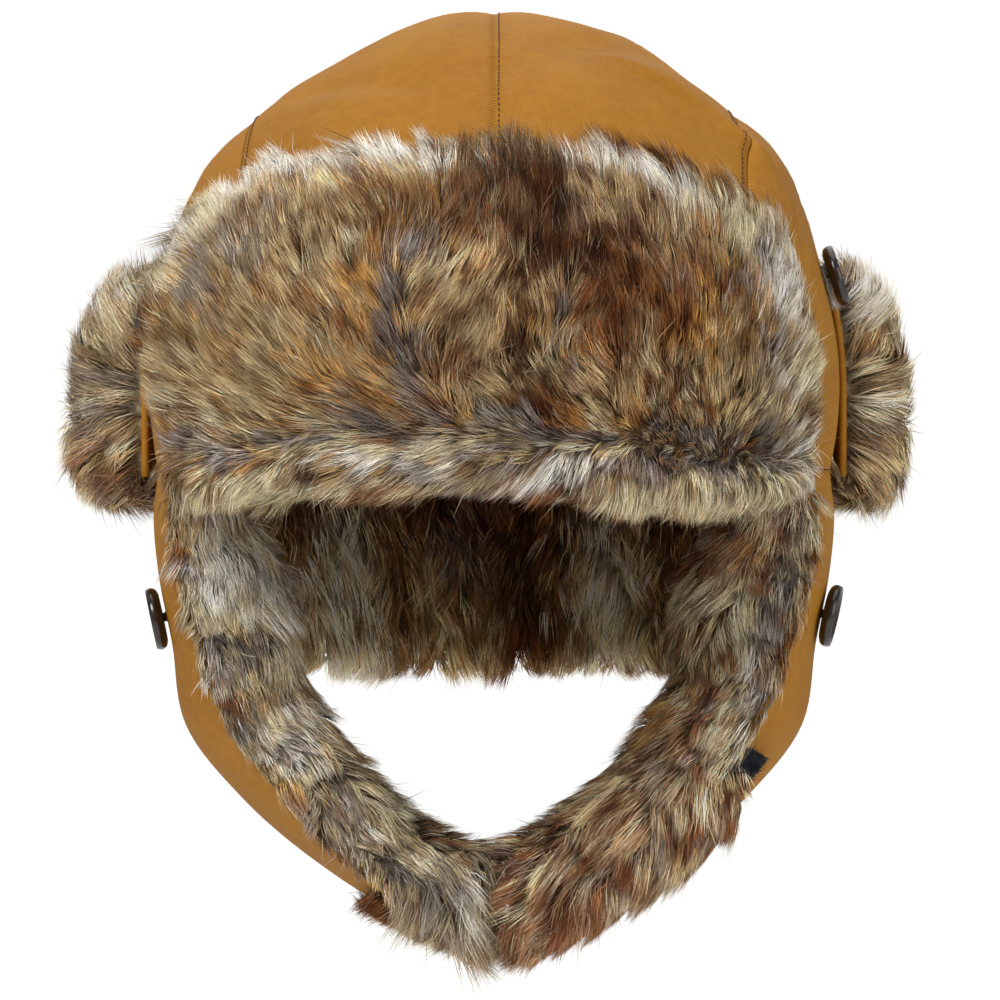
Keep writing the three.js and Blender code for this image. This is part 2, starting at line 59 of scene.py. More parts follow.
Vector3 = tuple[float, float, float]
Object = bpy.types.Object
Material = bpy.types.Material
Socket = bpy.types.NodeSocket
Sockets = bpy.types.bpy_prop_collection
Inputs = dict[str, float | None]
Random = np.random.Generator
Span = tuple[float, float]
BedRow = tuple[float, float, float]
Stroke = tuple[float, float, float, float]
Profile = Callable[[Array], Array]
Spread = Callable[[Array, Array], Array]
MM = 0.001
SEAT_MM = 155.0
HAIR_LAYER = "Hair"


class Slot(Enum):
    """The material slots of the record."""

    SHELL = "shell_fabric"
    FUR = "faux_fur"
    BUTTON = "button"
    THREAD = "thread"
    ELASTIC = "elastic"
    HOOK = "hook_tape"


class Side(Enum):
    """The two sides of the cap as seen from the front."""

    LEFT = -1
    RIGHT = 1

    @property
    def word(self) -> str:
        """The side's name in the names of nodes."""
        return self.name.lower()


def lerp(low: float | Array, high: float | Array, share: float | Array) -> float | Array:
    """The value a share of the way from low to high."""
    return low + (high - low) * share


def smoothstep(value: float | Array, low: float, high: float) -> Array:
    """A smooth rise from 0 at low to 1 at high."""
    share = np.clip((np.asarray(value, dtype=float) - low) / (high - low), 0.0, 1.0)
    return share * share * (3.0 - 2.0 * share)


def bump(value: float | Array, centre: float, width: float) -> Array:
    """A bell curve of height 1 at centre."""
    return np.exp(-(((np.asarray(value, dtype=float) - centre) / width) ** 2))


def unit(vectors: Array) -> Array:
    """The vectors at length 1."""
    return vectors / np.maximum(np.linalg.norm(vectors, axis=-1, keepdims=True), 1e-9)


def dot(first: Array, second: Array) -> Array:
    """The dot product of each pair of vectors, with its last axis kept."""
    return np.sum(first * second, axis=-1, keepdims=True)


def travelled(points: Array) -> Array:
    """The distance along a line at each of its points."""
    return np.concatenate([[0.0], np.cumsum(np.linalg.norm(np.diff(points, axis=0), axis=-1))])


def quad_areas(points: Array) -> Array:
    """The area of each cell of a grid of points."""
    first, second = points[1:, 1:] - points[:-1, :-1], points[1:, :-1] - points[:-1, 1:]
    return np.linalg.norm(np.cross(first, second), axis=-1) / 2


def linear(colour: str) -> Array:
    """A colour such as "#c18a3e" as linear red, green and blue."""
    channels = np.array([int(colour[i : i + 2], 16) / 255.0 for i in (1, 3, 5)])
    return np.where(channels <= 0.04045, channels / 12.92, ((channels + 0.055) / 1.055) ** 2.4)


def rgba(colour: str) -> tuple[float, float, float, float]:
    """A colour such as "#c18a3e" as linear values for a shader socket."""
    red, green, blue = (float(value) for value in linear(colour))
    return (red, green, blue, 1.0)


def hash01(first: Array, second: Array, seed: int) -> Array:
    """A repeatable random number from 0 to 1 for each pair of whole numbers.

    Args:
        first: The first whole numbers.
        second: The second whole numbers.
        seed: A whole number that picks another set of results.

    Returns:
        One number for each pair.
    """
    mask = np.int64(0xFFFFFFFF)
    mixed = first.astype(np.int64) * 374761393 + second.astype(np.int64) * 668265263
    mixed = (mixed + seed * 974634777) & mask
    mixed = ((mixed ^ (mixed >> 13)) * 1274126177) & mask
    mixed = ((mixed ^ (mixed >> 15)) * 2246822519 + 31) & mask
    return ((mixed ^ (mixed >> 16)) & mask) / float(mask)


def value_noise(x: Array, y: Array, size: float, seed: int) -> Array:
    """Smooth noise from 0 to 1 over a plane.

    Args:
        x: First coordinates.
        y: Second coordinates.
        size: The distance over which the noise changes.
        seed: A whole number that picks another noise.

    Returns:
        One value for each point.
    """
    column, row = x / size, y / size
    left, low = np.floor(column), np.floor(row)
    across, up = column - left, row - low
    across, up = across * across * (3 - 2 * across), up * up * (3 - 2 * up)
    corners = [hash01(left + i, low + j, seed) for j in (0, 1) for i in (0, 1)]
    return lerp(lerp(corners[0], corners[1], across), lerp(corners[2], corners[3], across), up)


def space_noise(points: Array, size: float, seed: int) -> Array:
    """Smooth noise from 0 to 1 in space.

    Args:
        points: The points, with their coordinates on the last axis.
        size: The distance over which the noise changes.
        seed: A whole number that picks another noise.

    Returns:
        One value for each point.
    """
    low = np.floor(points / size)
    share = points / size - low
    right, back, up = (share[..., i] ** 2 * (3 - 2 * share[..., i]) for i in range(3))
    x, y, z = (low[..., i] for i in range(3))
    planes = []
    for k in (0, 1):
        corners = [hash01(x + i, (y + j) * 131 + (z + k) * 7919, seed) for j in (0, 1) for i in (0, 1)]
        planes.append(lerp(lerp(corners[0], corners[1], right), lerp(corners[2], corners[3], right), back))
    return lerp(planes[0], planes[1], up)


def to_world(points: Array) -> Array:
    """Points in millimetres above the brow fold as metres in the frame."""
    return (points - np.array([0.0, 0.0, SEAT_MM])) * MM


@dataclass(frozen=True)
class PhotoView:
    """The level camera in front of the cap, and how it sees a point.

    Attributes:
        distance: From the camera to the head's axis.
        pixel: The size of a pixel at the head's axis.
        middle: The pixel column that the camera looks at.
        off_axis: How far the camera stands to the right of the head's axis.
        half: Half the picture's size in pixels.
    """

    distance: float = 950.0
    pixel: float = 0.325
    middle: float = 494.0
    off_axis: float = 1.95
    half: float = 500.0

    def pixels(self, points: Array) -> tuple[Array, Array]:
        """The picture's columns and rows at which points are seen."""
        scale = self.pixel * (self.distance + points[..., 1]) / self.distance
        return self.middle + points[..., 0] / scale, self.half - points[..., 2] / scale


VIEW = PhotoView()


# Surfaces
@dataclass(frozen=True)
class Dome:
    """The plain shape of the crown, half of an ellipsoid on a wall that runs on down below its widest."""

    half_width: float = 110.0
    half_depth: float = 122.0
    widest: float = 36.0
    height: float = 120.0
    rim: float = 10.0

    def at(self, azimuth: Array, z: Array) -> Array:
        """The points at azimuths from the front, in radians, and heights.

        Args:
            azimuth: The azimuths.
            z: The heights.

        Returns:
            The points.
        """
        ring = np.sqrt(np.maximum(0.0, 1.0 - ((z - self.widest) / self.height) ** 2))
        x = self.half_width * ring * np.sin(azimuth)
        y = -self.half_depth * ring * np.cos(azimuth)
        return np.stack([x, y, z + 0.0 * x], axis=-1)

    def normal(self, points: Array) -> Array:
        """The outward normals at points on the dome."""
        scaled = [
            points[..., 0] / self.half_width**2, points[..., 1] / self.half_depth**2,
            (points[..., 2] - self.widest) / self.height**2,
        ]
        return unit(np.stack(scaled, axis=-1))


DOME = Dome()


@dataclass(frozen=True)
class Fold:
    """A fold of the crown fabric, as a line with a half-width and a rise."""

    start: Vector3
    end: Vector3
    width: float
    rise: float

    def height(self, points: Array) -> Array:
        """How far the fold lifts the fabric at each point.

        Args:
            points: The points.

        Returns:
            The rise at each.
        """
        start, run = np.array(self.start), np.array(self.end) - np.array(self.start)
        share = np.clip(((points - start) @ run) / (run @ run), 0.0, 1.0)
        away = np.linalg.norm(points - (start + share[..., None] * run), axis=-1)
        return self.rise * np.exp(-((away / self.width) ** 2))


FOLDS = (
    Fold((36, -64, 133), (80, -48, 106), 5, 2.6), Fold((-45, -40, 137), (-45, 40, 137), 22, -3.2),
    Fold((-60, -44, 127), (-26, -78, 125), 7, -2.4), Fold((20, -62, 142), (62, -22, 137), 9, -1.8),
    Fold((-84, -20, 112), (-50, 20, 142), 9, -1.6), Fold((88, 10, 108), (52, 60, 130), 8, -1.8),
    Fold((-30, 70, 132), (-72, 78, 96), 9, 2),
)
# Small creases that the cloth has besides its folds.
CREASES = (
    Fold((30, -68, 136), (79, -52, 111), 2.6, -3.2), Fold((34, -60, 139), (74, -44, 118), 5, 1.8),
    Fold((-58, -62, 126), (-30, -76, 129), 3, 0.7), Fold((-68, -60, 118), (-44, -76, 116), 3.5, -0.8),
    Fold((8, -76, 133), (26, -62, 139), 3, -0.6), Fold((-28, -60, 140), (-8, -50, 148), 4, 0.6),
    Fold((40, -20, 145), (66, 10, 136), 5, 0.8), Fold((-20, 10, 152), (-52, 44, 136), 5, -0.8),
    Fold((86, -46, 96), (98, -8, 92), 4, -0.7), Fold((-88, -36, 98), (-97, 4, 92), 4, -0.8),
    Fold((20, 80, 128), (54, 76, 112), 4, 0.8),
)


@dataclass(frozen=True)
class CrownRelief:
    """How the crown's fabric departs from the plain dome."""

    seam_x: float = 76.0
    gap: float = 0.6
    pinch: float = 1.1
    reach: float = 7.0
    shoulder_x: float = 87.0
    shoulder_reach: float = 15.0
    shoulder_rise: float = 3.5
    groove: float = 0.38
    groove_reach: float = 0.8
    pucker: float = 0.34
    pucker_pitch: float = 7.5

    def apply(self, points: Array, fine: bool = True) -> Array:
        """The points moved along the dome's normals by the fabric's relief.

        Args:
            points: Points on the plain dome.
            fine: Whether the small creases, grooves and puckers are added.

        Returns:
            The moved points.
        """
        x, y, z = points[..., 0], points[..., 1], points[..., 2]
        rise = 0.5 * np.sin(x * 0.09 + y * 0.05) * np.sin(z * 0.07 + y * 0.04)
        for fold in FOLDS:
            rise = rise + fold.height(points)
        for seam in (0.0, self.seam_x):
            rise = rise - self.pinch * bump(np.abs(x), seam, self.reach)
        shoulder = self.shoulder_rise * bump(np.abs(x), self.shoulder_x, self.shoulder_reach)
        rise = rise + shoulder * smoothstep(z, 60.0, 95.0)
        if fine:
            rise = rise + self._fine(points)
        rise = rise * smoothstep(z, DOME.rim, DOME.rim + 20.0)
        return points + DOME.normal(points) * rise[..., None]

    def _fine(self, points: Array) -> Array:
        """The small creases, seam grooves and puckers at each point.

        Args:
            points: The points.

        Returns:
            The rise at each.
        """
        x, y, z = points[..., 0], points[..., 1], points[..., 2]
        rise = sum(crease.height(points) for crease in CREASES)
        along = np.hypot(y, z - DOME.widest) * np.arctan2(y, z - DOME.widest)
        for index, seam in enumerate((0.0, self.seam_x, -self.seam_x)):
            away = x - seam
            rise = rise - self.groove * bump(away, 0.0, self.groove_reach)
            wobble = value_noise(along, along * 0.0 + index, self.pucker_pitch, 5 + index) - 0.5
            rise = rise + 2 * self.pucker * wobble * bump(np.abs(away), 5.0, 4.5)
        soft = value_noise(x + 400, y + z + 400, 24.0, 31) - 0.5
        ripple = value_noise(x + 700, y + z + 700, 9.0, 33) - 0.5
        return rise + 1.3 * soft + 0.35 * ripple


RELIEF = CrownRelief()


class Surface(ABC):
    """A surface with coordinates u and v from 0 to 1."""

    @abstractmethod
    def at(self, u: Array, v: Array) -> Array:
        """The points at coordinates u and v."""

    def outward(self, u: Array, v: Array) -> tuple[Array, Array, Array]:
        """Points on the surface with their outward normals and their directions along v.

        Args:
            u: First coordinates.
            v: Second coordinates.

        Returns:
            The points, the normals and the directions.
        """
        step = 1e-3
        along = self.at(np.minimum(1, u + step), v) - self.at(np.maximum(0, u - step), v)
        across = unit(self.at(u, np.minimum(1, v + step)) - self.at(u, np.maximum(0, v - step)))
        normal = unit(np.cross(along, across))
        point = self.at(u, v)
        axis = np.zeros_like(point)
        axis[..., 2] = np.clip(point[..., 2], -60.0, 60.0)
        normal = np.where(dot(normal, point - axis) < 0, -normal, normal)
        return point, normal, across

    def lifted(self, u: Array, v: Array, height: Array | float, over: Array | float = 0.0) -> Array:
        """Points at a height above the surface, and at a distance past its edge.

        Args:
            u: First coordinates.
            v: Second coordinates.
            height: The heights above the surface, along its outward normal.
            over: How far the points lie past the edge, along v.

        Returns:
            The lifted points.
        """
        point, normal, across = self.outward(u, v)
        return point + normal * np.asarray(height)[..., None] + across * np.asarray(over)[..., None]


@dataclass(frozen=True)
class TopPanel(Surface):
    """One half of the crown's middle: u from the brow over the top to the back, v outwards."""

    side: Side

    def at(self, u: Array, v: Array) -> Array:
        """The points at coordinates u and v.

        Args:
            u: First coordinates.
            v: Second coordinates.

        Returns:
            The points.
        """
        x = self.side.value * lerp(RELIEF.gap / 2, RELIEF.seam_x - RELIEF.gap / 2, v)
        ring = np.sqrt(1.0 - (x / DOME.half_width) ** 2)
        start = np.arcsin((DOME.rim - DOME.widest) / (DOME.height * ring))
        turn = lerp(start, math.pi - start, u)
        y = -DOME.half_depth * ring * np.cos(turn)
        z = DOME.widest + DOME.height * ring * np.sin(turn)
        return RELIEF.apply(np.stack([x + 0.0 * y, y, z], axis=-1))


@dataclass(frozen=True)
class SidePanel(Surface):
    """One side of the crown: u from front to back, v from the rim up to the side seam."""

    side: Side

    def at(self, u: Array, v: Array) -> Array:
        """The points at coordinates u and v.

        Args:
            u: First coordinates.
            v: Second coordinates.

        Returns:
            The points.
        """
        seam_x = RELIEF.seam_x + RELIEF.gap / 2
        low = math.asin((DOME.rim - DOME.widest) / DOME.height)
        start = math.asin(seam_x / (DOME.half_width * math.cos(low)))
        azimuth = lerp(start, math.pi - start, u)
        share = np.minimum(1.0, seam_x / (DOME.half_width * np.sin(azimuth)))
        climb = lerp(low, np.arccos(share), v)
        points = DOME.at(self.side.value * azimuth, DOME.widest + DOME.height * np.sin(climb))
        return RELIEF.apply(points)


@dataclass(frozen=True)
class FlapSection:
    """Where a flap's front edge, middle and rear edge cross a section, with X towards its own side."""

    front: Vector3
    middle: Vector3
    rear: Vector3


FLAP_SECTIONS = (
    FlapSection((97.6, -56.3, 36), (110, 2, 36), (95.3, 61, 36)),
    FlapSection((95.8, -54, 9.4), (107.4, 2, 9.4), (93, 59.6, 9.4)),
    FlapSection((98, -54, -4), (108, 0, -6), (92.5, 58.5, -8)),
    FlapSection((97.5, -53, -19), (105.8, -3, -26), (91, 54, -30)),
    FlapSection((92, -52, -38), (101.8, -6, -48), (87.5, 48, -54)),
    FlapSection((84, -51, -62), (98, -9, -72), (82, 36, -74)),
    FlapSection((69, -51, -84), (80, -12, -95), (69, 24, -95)),
    FlapSection((50, -51, -105), (56, -15, -115), (50, 14, -113)),
    FlapSection((27, -52, -122), (30, -18, -130), (27, 8, -128)),
)
UPPER_TIP = (FlapSection((-1.5, -52, -130), (-1.5, -20, -136), (-1.5, 5, -134)),)
LOWER_TIP = (
    FlapSection((4, -49, -134.5), (4, -20, -141), (4, 5, -139)),
    FlapSection((-20, -46, -133), (-20, -18, -139), (-20, 6, -137)),
    FlapSection((-40, -43, -123), (-40, -18, -131), (-40, 6, -129)),
)
RIM_SECTION = 1.0
NECK_SECTION = 3.95


@dataclass(frozen=True)
class SmoothLine:
    """A centripetal curve through points."""

    knots: tuple[Vector3, ...]

    def at(self, share: Array) -> Array:
        """The points at shares from 0 to 1 of the way along, counted in knots.

        Args:
            share: The shares.

        Returns:
            The points.
        """
        knots = np.array(self.knots, dtype=float)
        padded = np.vstack([2 * knots[0] - knots[1], knots, 2 * knots[-1] - knots[-2]])
        last = len(knots) - 1
        position = np.clip(share, 0.0, 1.0) * last
        index = np.minimum(np.floor(position).astype(int), last - 1)
        weight = (position - index)[..., None]
        before, start, end, after = (padded[index + i] for i in range(4))
        first, middle, final = (
            np.linalg.norm(b - a, axis=-1, keepdims=True) ** 0.5
            for a, b in ((before, start), (start, end), (end, after))
        )
        leave = (start - before) / first - (end - before) / (first + middle) + (end - start) / middle
        arrive = (end - start) / middle - (after - start) / (middle + final) + (after - end) / final
        leave, arrive = leave * middle, arrive * middle
        square = -3 * start + 3 * end - 2 * leave - arrive
        cube = 2 * start - 2 * end + leave + arrive
        return start + leave * weight + square * weight**2 + cube * weight**3


@dataclass(frozen=True)
class EarFlapSurface(Surface):
    """An ear flap: u from one section to another, v from the front edge to the rear edge."""

    side: Side
    sections: tuple[FlapSection, ...]
    first: float
    last: float

    def at(self, u: Array, v: Array) -> Array:
        """The points at coordinates u and v.

        Args:
            u: First coordinates.
            v: Second coordinates.

        Returns:
            The points.
        """
        share = lerp(self.first, self.last, np.asarray(u, dtype=float)) / (len(self.sections) - 1)
        front, middle, rear = (
            SmoothLine(tuple(getattr(s, column) for s in self.sections)).at(share)
            for column in ("front", "middle", "rear")
        )
        pull = 2 * middle - (front + rear) / 2
        t = np.asarray(v, dtype=float)[..., None]
        points = front * (1 - t) ** 2 + 2 * pull * t * (1 - t) + rear * t**2
        return points * np.array([self.side.value, 1.0, 1.0])


@dataclass(frozen=True)
class NeckSurface(Surface):
    """The back of the skirt: u round from one rear seam to the other, v from a section down."""

    first: float
    last: float
    seam_deg: float = 120.0
    inset_deg: float = 0.35

    def at(self, u: Array, v: Array) -> Array:
        """The points at coordinates u and v.

        Args:
            u: First coordinates.
            v: Second coordinates.

        Returns:
            The points.
        """
        sections = FLAP_SECTIONS + UPPER_TIP
        line = SmoothLine(tuple(s.rear for s in sections))
        rear = line.at(lerp(self.first, self.last, np.asarray(v, dtype=float)) / (len(sections) - 1))
        seam, inset = math.radians(self.seam_deg), math.radians(self.inset_deg)
        azimuth = lerp(seam + inset, 2 * math.pi - seam - inset, np.asarray(u, dtype=float))
        x = rear[..., 0] * np.sin(azimuth) / math.sin(seam)
        y = rear[..., 1] * np.cos(azimuth) / math.cos(seam)
        return np.stack([x, y, rear[..., 2] + 0.0 * x], axis=-1)


@dataclass(frozen=True)
class FrontFlapSurface(Surface):
    """The turned-up front flap: u from one end to the other, v from its fold up to its top edge."""

    wrap_left_deg: float = 56.0
    wrap_right_deg: float = 52.0
    low: float = 9.0
    top_middle: float = 91.0
    top_drop: float = 20.0
    top_curve: float = 3.5
    stand_off: float = 4.0

    def at(self, u: Array, v: Array) -> Array:
        """The points at coordinates u and v.

        Args:
            u: First coordinates.
            v: Second coordinates.

        Returns:
            The points.
        """
        top = self.top_middle - self.top_drop * np.abs(2 * u - 1) ** self.top_curve
        azimuth = np.radians(lerp(-self.wrap_left_deg, self.wrap_right_deg, u))
        points = DOME.at(azimuth, lerp(self.low, top, v))
        return points + DOME.normal(points) * self.stand_off


@dataclass(frozen=True)
class CuffSurface(Surface):
    """The turned-up cuff: u round the back from one end to the other, v from its fold upwards."""

    start_deg: float = 92.0
    low: float = 8.0
    top: float = 67.0
    stand_off: float = 3.4
    flare: float = 0.8
    flare_deg: float = 16.0

    def at(self, u: Array, v: Array) -> Array:
        """The points at coordinates u and v.

        Args:
            u: First coordinates.
            v: Second coordinates.

        Returns:
            The points.
        """
        start = math.radians(self.start_deg)
        azimuth = lerp(start, 2 * math.pi - start, np.asarray(u, dtype=float))
        from_end = np.minimum(azimuth - start, 2 * math.pi - start - azimuth)
        flare = self.flare * (1 - smoothstep(from_end, 0.0, math.radians(self.flare_deg)))
        z = lerp(self.low, self.top, np.asarray(v, dtype=float)) + 0.0 * azimuth
        points = DOME.at(azimuth, np.maximum(z, DOME.widest))
        out = DOME.normal(points) * (self.stand_off + flare)[..., None]
        points[..., 2] = z
        return points + out


# Meshes
@dataclass
class Faces:
    """Faces of three and four corners, gathered for one mesh."""

    corners: list[Array] = field(default_factory=list)
    sizes: list[Array] = field(default_factory=list)

    def add(self, indices: Array) -> None:
        """Adds faces, one in each row of indices."""
        self.corners.append(indices.reshape(-1))
        self.sizes.append(np.full(len(indices), indices.shape[1]))


def make_object(name: str, points: Array, faces: Faces) -> Object:
    """A smooth object of points in world metres.

    Args:
        name: The object's name.
        points: The points, one in each row.
        faces: The faces between them.

    Returns:
        The object, linked to the scene.
    """
    mesh = bpy.data.meshes.new(name)
    corners = np.concatenate(faces.corners).astype(np.int32)
    sizes = np.concatenate(faces.sizes).astype(np.int32)
    mesh.vertices.add(len(points))
    mesh.vertices.foreach_set("co", np.ascontiguousarray(points, dtype=np.float32).reshape(-1))
    mesh.loops.add(len(corners))
    mesh.loops.foreach_set("vertex_index", corners)
    mesh.polygons.add(len(sizes))
    mesh.polygons.foreach_set("loop_start", np.concatenate([[0], np.cumsum(sizes)[:-1]]).astype(np.int32))
    mesh.update(calc_edges=True)
    mesh.polygons.foreach_set("use_smooth", np.full(len(sizes), True))
    made = bpy.data.objects.new(name, mesh)
    bpy.context.scene.collection.objects.link(made)
    return made


def set_uv(made: Object, coordinates: Array, plain: int = 0) -> None:
    """Gives each vertex its flat coordinates in millimetres, but none to the last plain faces' corners.

    Args:
        made: The object.
        coordinates: The coordinates, one pair for each vertex.
        plain: The number of those faces.
    """
    layer = made.data.uv_layers.new(name="Flat")
    corners = np.empty(len(made.data.loops), dtype=np.int32)
    made.data.loops.foreach_get("vertex_index", corners)
    flat = coordinates[corners].astype(np.float32)
    flat[len(flat) - 4 * plain :] = 0.0
    layer.data.foreach_set("uv", flat.reshape(-1))


def set_colours(made: Object, colours: Array) -> None:
    """Gives an object a colour for each point, in the hair layer.

    Args:
        made: The object.
        colours: Red, green and blue, one row for each point.
    """
    layer = made.data.color_attributes.new(HAIR_LAYER, "FLOAT_COLOR", "POINT")
    padded = np.concatenate([colours, np.ones((len(colours), 1))], axis=1)
    layer.data.foreach_set("color", padded.astype(np.float32).reshape(-1))


def grid_faces(rows: int, columns: int, wrap_columns: bool = False) -> Array:
    """The four-cornered faces of a grid of points.

    Args:
        rows: The number of rows of points.
        columns: The number of points in a row.
        wrap_columns: Whether the last point of a row meets its first.

    Returns:
        The corner indices, one face in each row.
    """
    i, j = np.meshgrid(np.arange(rows - 1), np.arange(columns - (not wrap_columns)), indexing="ij")
    nxt = (j + 1) % columns
    near, far = i * columns, (i + 1) * columns
    return np.stack([near + j, far + j, far + nxt, near + nxt], axis=-1).reshape(-1, 4)


def closed_volume(points: Array, quads: Array) -> float:
    """Six times the volume inside a closed set of four-cornered faces."""
    a, b, c, d = (points[quads[:, i]] for i in range(4))
    return float(np.sum(a * np.cross(b, c)) + np.sum(a * np.cross(c, d)))


def dressed(made: Object, slot: Slot, material: Material, *nodes: str) -> Object:
    """Gives a piece its material, lets it ride on the cap, and hides the parts of the nodes that it stands
    for.

    Args:
        made: The piece.
        slot: Not used.
        material: Its material.
        *nodes: The nodes that it stands for.

    Returns:
        The piece.
    """
    made.data.materials.append(material)
    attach(made, "root")
    if nodes:
        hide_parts(*nodes)
    return made


def closed_band(rows: int, columns: int, overlap: int) -> Array:
    """The faces of a flat band, whose rows of points run round its cross-section, with both ends closed.

    Args:
        rows: The number of rows of points.
        columns: The number of points round the cross-section.
        overlap: Half the number of a row's last points, which round the edge where it begins.

    Returns:
        The corner indices, one face in each row.
    """
    quads = [grid_faces(rows, columns, wrap_columns=True)]
    step = np.arange(columns // 2)
    for first, flip in ((0, False), ((rows - 1) * columns, True)):
        top = first + (step - overlap) % columns
        low = first + columns - overlap - 1 - step
        ends = np.stack([top[:-1], top[1:], low[1:], low[:-1]], axis=1)
        quads.append(ends[:, ::-1] if flip else ends)
    return np.concatenate(quads)


@dataclass
class ClothSheet:
    """A sheet of shell fabric with rounded edges, on a surface at the middle of its thickness."""

    name: str
    surface: Surface
    along: int
    across: int
    edge: float = 0.7
    half: float = 1.0
    held: str = "stretched"
    rests_on: tuple[str, ...] = ()

    def build(self, material: Material) -> Object:
        """The dressed piece, with flat coordinates from the size that its surface has.

        Args:
            material: The fabric's material.

        Returns:
            The piece.
        """
        path = self._path()
        u = np.linspace(0, 1, self.along + 1)[:, None]
        v, over, height = (path[:, i][None, :] + 0 * u for i in range(3))
        points = self.surface.lifted(u + 0 * v, v, height, over)
        rows, columns = points.shape[:2]
        flat_points = points.reshape(-1, 3)
        quads = closed_band(rows, columns, 2)
        faces = Faces()
        faces.add(quads[:, ::-1] if closed_volume(flat_points, quads) < 0 else quads)
        made = make_object(self.name + "_cloth", to_world(flat_points), faces)
        length, width, area = self._flat_size()
        run = np.linspace(0, length, rows)[:, None] + 0 * v
        set_uv(made, np.stack([run, v * width + over], axis=-1).reshape(-1, 2), plain=columns - 2)
        dressed(made, Slot.SHELL, material, self.name)
        return made

    def _path(self) -> Array:
        """The way round the sheet's cross-section as v, distance past the edge, and height.

        Returns:
            One row for each point round it.
        """
        v = np.linspace(0, 1, self.across + 1)
        zero = np.zeros_like(v)
        turn = np.radians([60.0, 25.0, -25.0, -60.0])
        edge = np.stack([np.ones(4), self.edge * np.cos(turn), self.half * np.sin(turn)], axis=1)
        far = np.stack([v, zero, zero + self.half], axis=1)
        near = np.stack([v[::-1], zero, zero - self.half], axis=1)
        return np.concatenate([far, edge, near, edge * np.array([0.0, -1.0, -1.0])])

    def _flat_size(self) -> tuple[float, float, float]:
        """The longest run along u, the longest along v, and the area of the surface.

        Returns:
            The three measures, in millimetres.
        """
        u, v = np.meshgrid(np.linspace(0, 1, 81), np.linspace(0, 1, 41), indexing="ij")
        points = self.surface.at(u, v)
        length = np.linalg.norm(np.diff(points, axis=0), axis=-1).sum(axis=0).max()
        width = np.linalg.norm(np.diff(points, axis=1), axis=-1).sum(axis=1).max()
        area = quad_areas(points).sum()
        return float(length), float(width), float(min(area, length * width))


@dataclass
class Roots:
    """Places on a fur bed, with the directions out of the fur, along the bed's rows and round it."""

    point: Array
    normal: Array
    along: Array
    across: Array


Flow = Callable[[Roots], Array]


@dataclass
class FurBed:
    """The felt that a fur grows from, as a grid of points.

    Its rows have the surface's own coordinate u and a distance along the middle of the bed. Its columns have
    the coordinate v and a distance round the bed.
    """

    points: Array
    normals: Array
    u: Array
    along: Array
    across: Array
    v: Array
    flow_u: Array
    flow_v: Array

    def sample(self, row: Array, column: Array) -> Roots:
        """The bed at places between the grid's points.

        Args:
            row: Places along the rows, in grid steps.
            column: Places along the columns, in grid steps.

        Returns:
            The places.
        """
        rows, columns = self.points.shape[:2]
        row, column = np.clip(row, 0, rows - 1.001), np.clip(column, 0, columns - 1.001)
        i, j = np.floor(row).astype(int), np.floor(column).astype(int)
        a, b = (row - i)[:, None], (column - j)[:, None]
        found = []
        for grid in (self.points, self.normals, self.flow_u, self.flow_v):
            near = grid[i, j] * (1 - a) + grid[i + 1, j] * a
            far = grid[i, j + 1] * (1 - a) + grid[i + 1, j + 1] * a
            found.append(near * (1 - b) + far * b)
        return Roots(found[0], *(unit(values) for values in found[1:]))


PARTING_V = 0.1


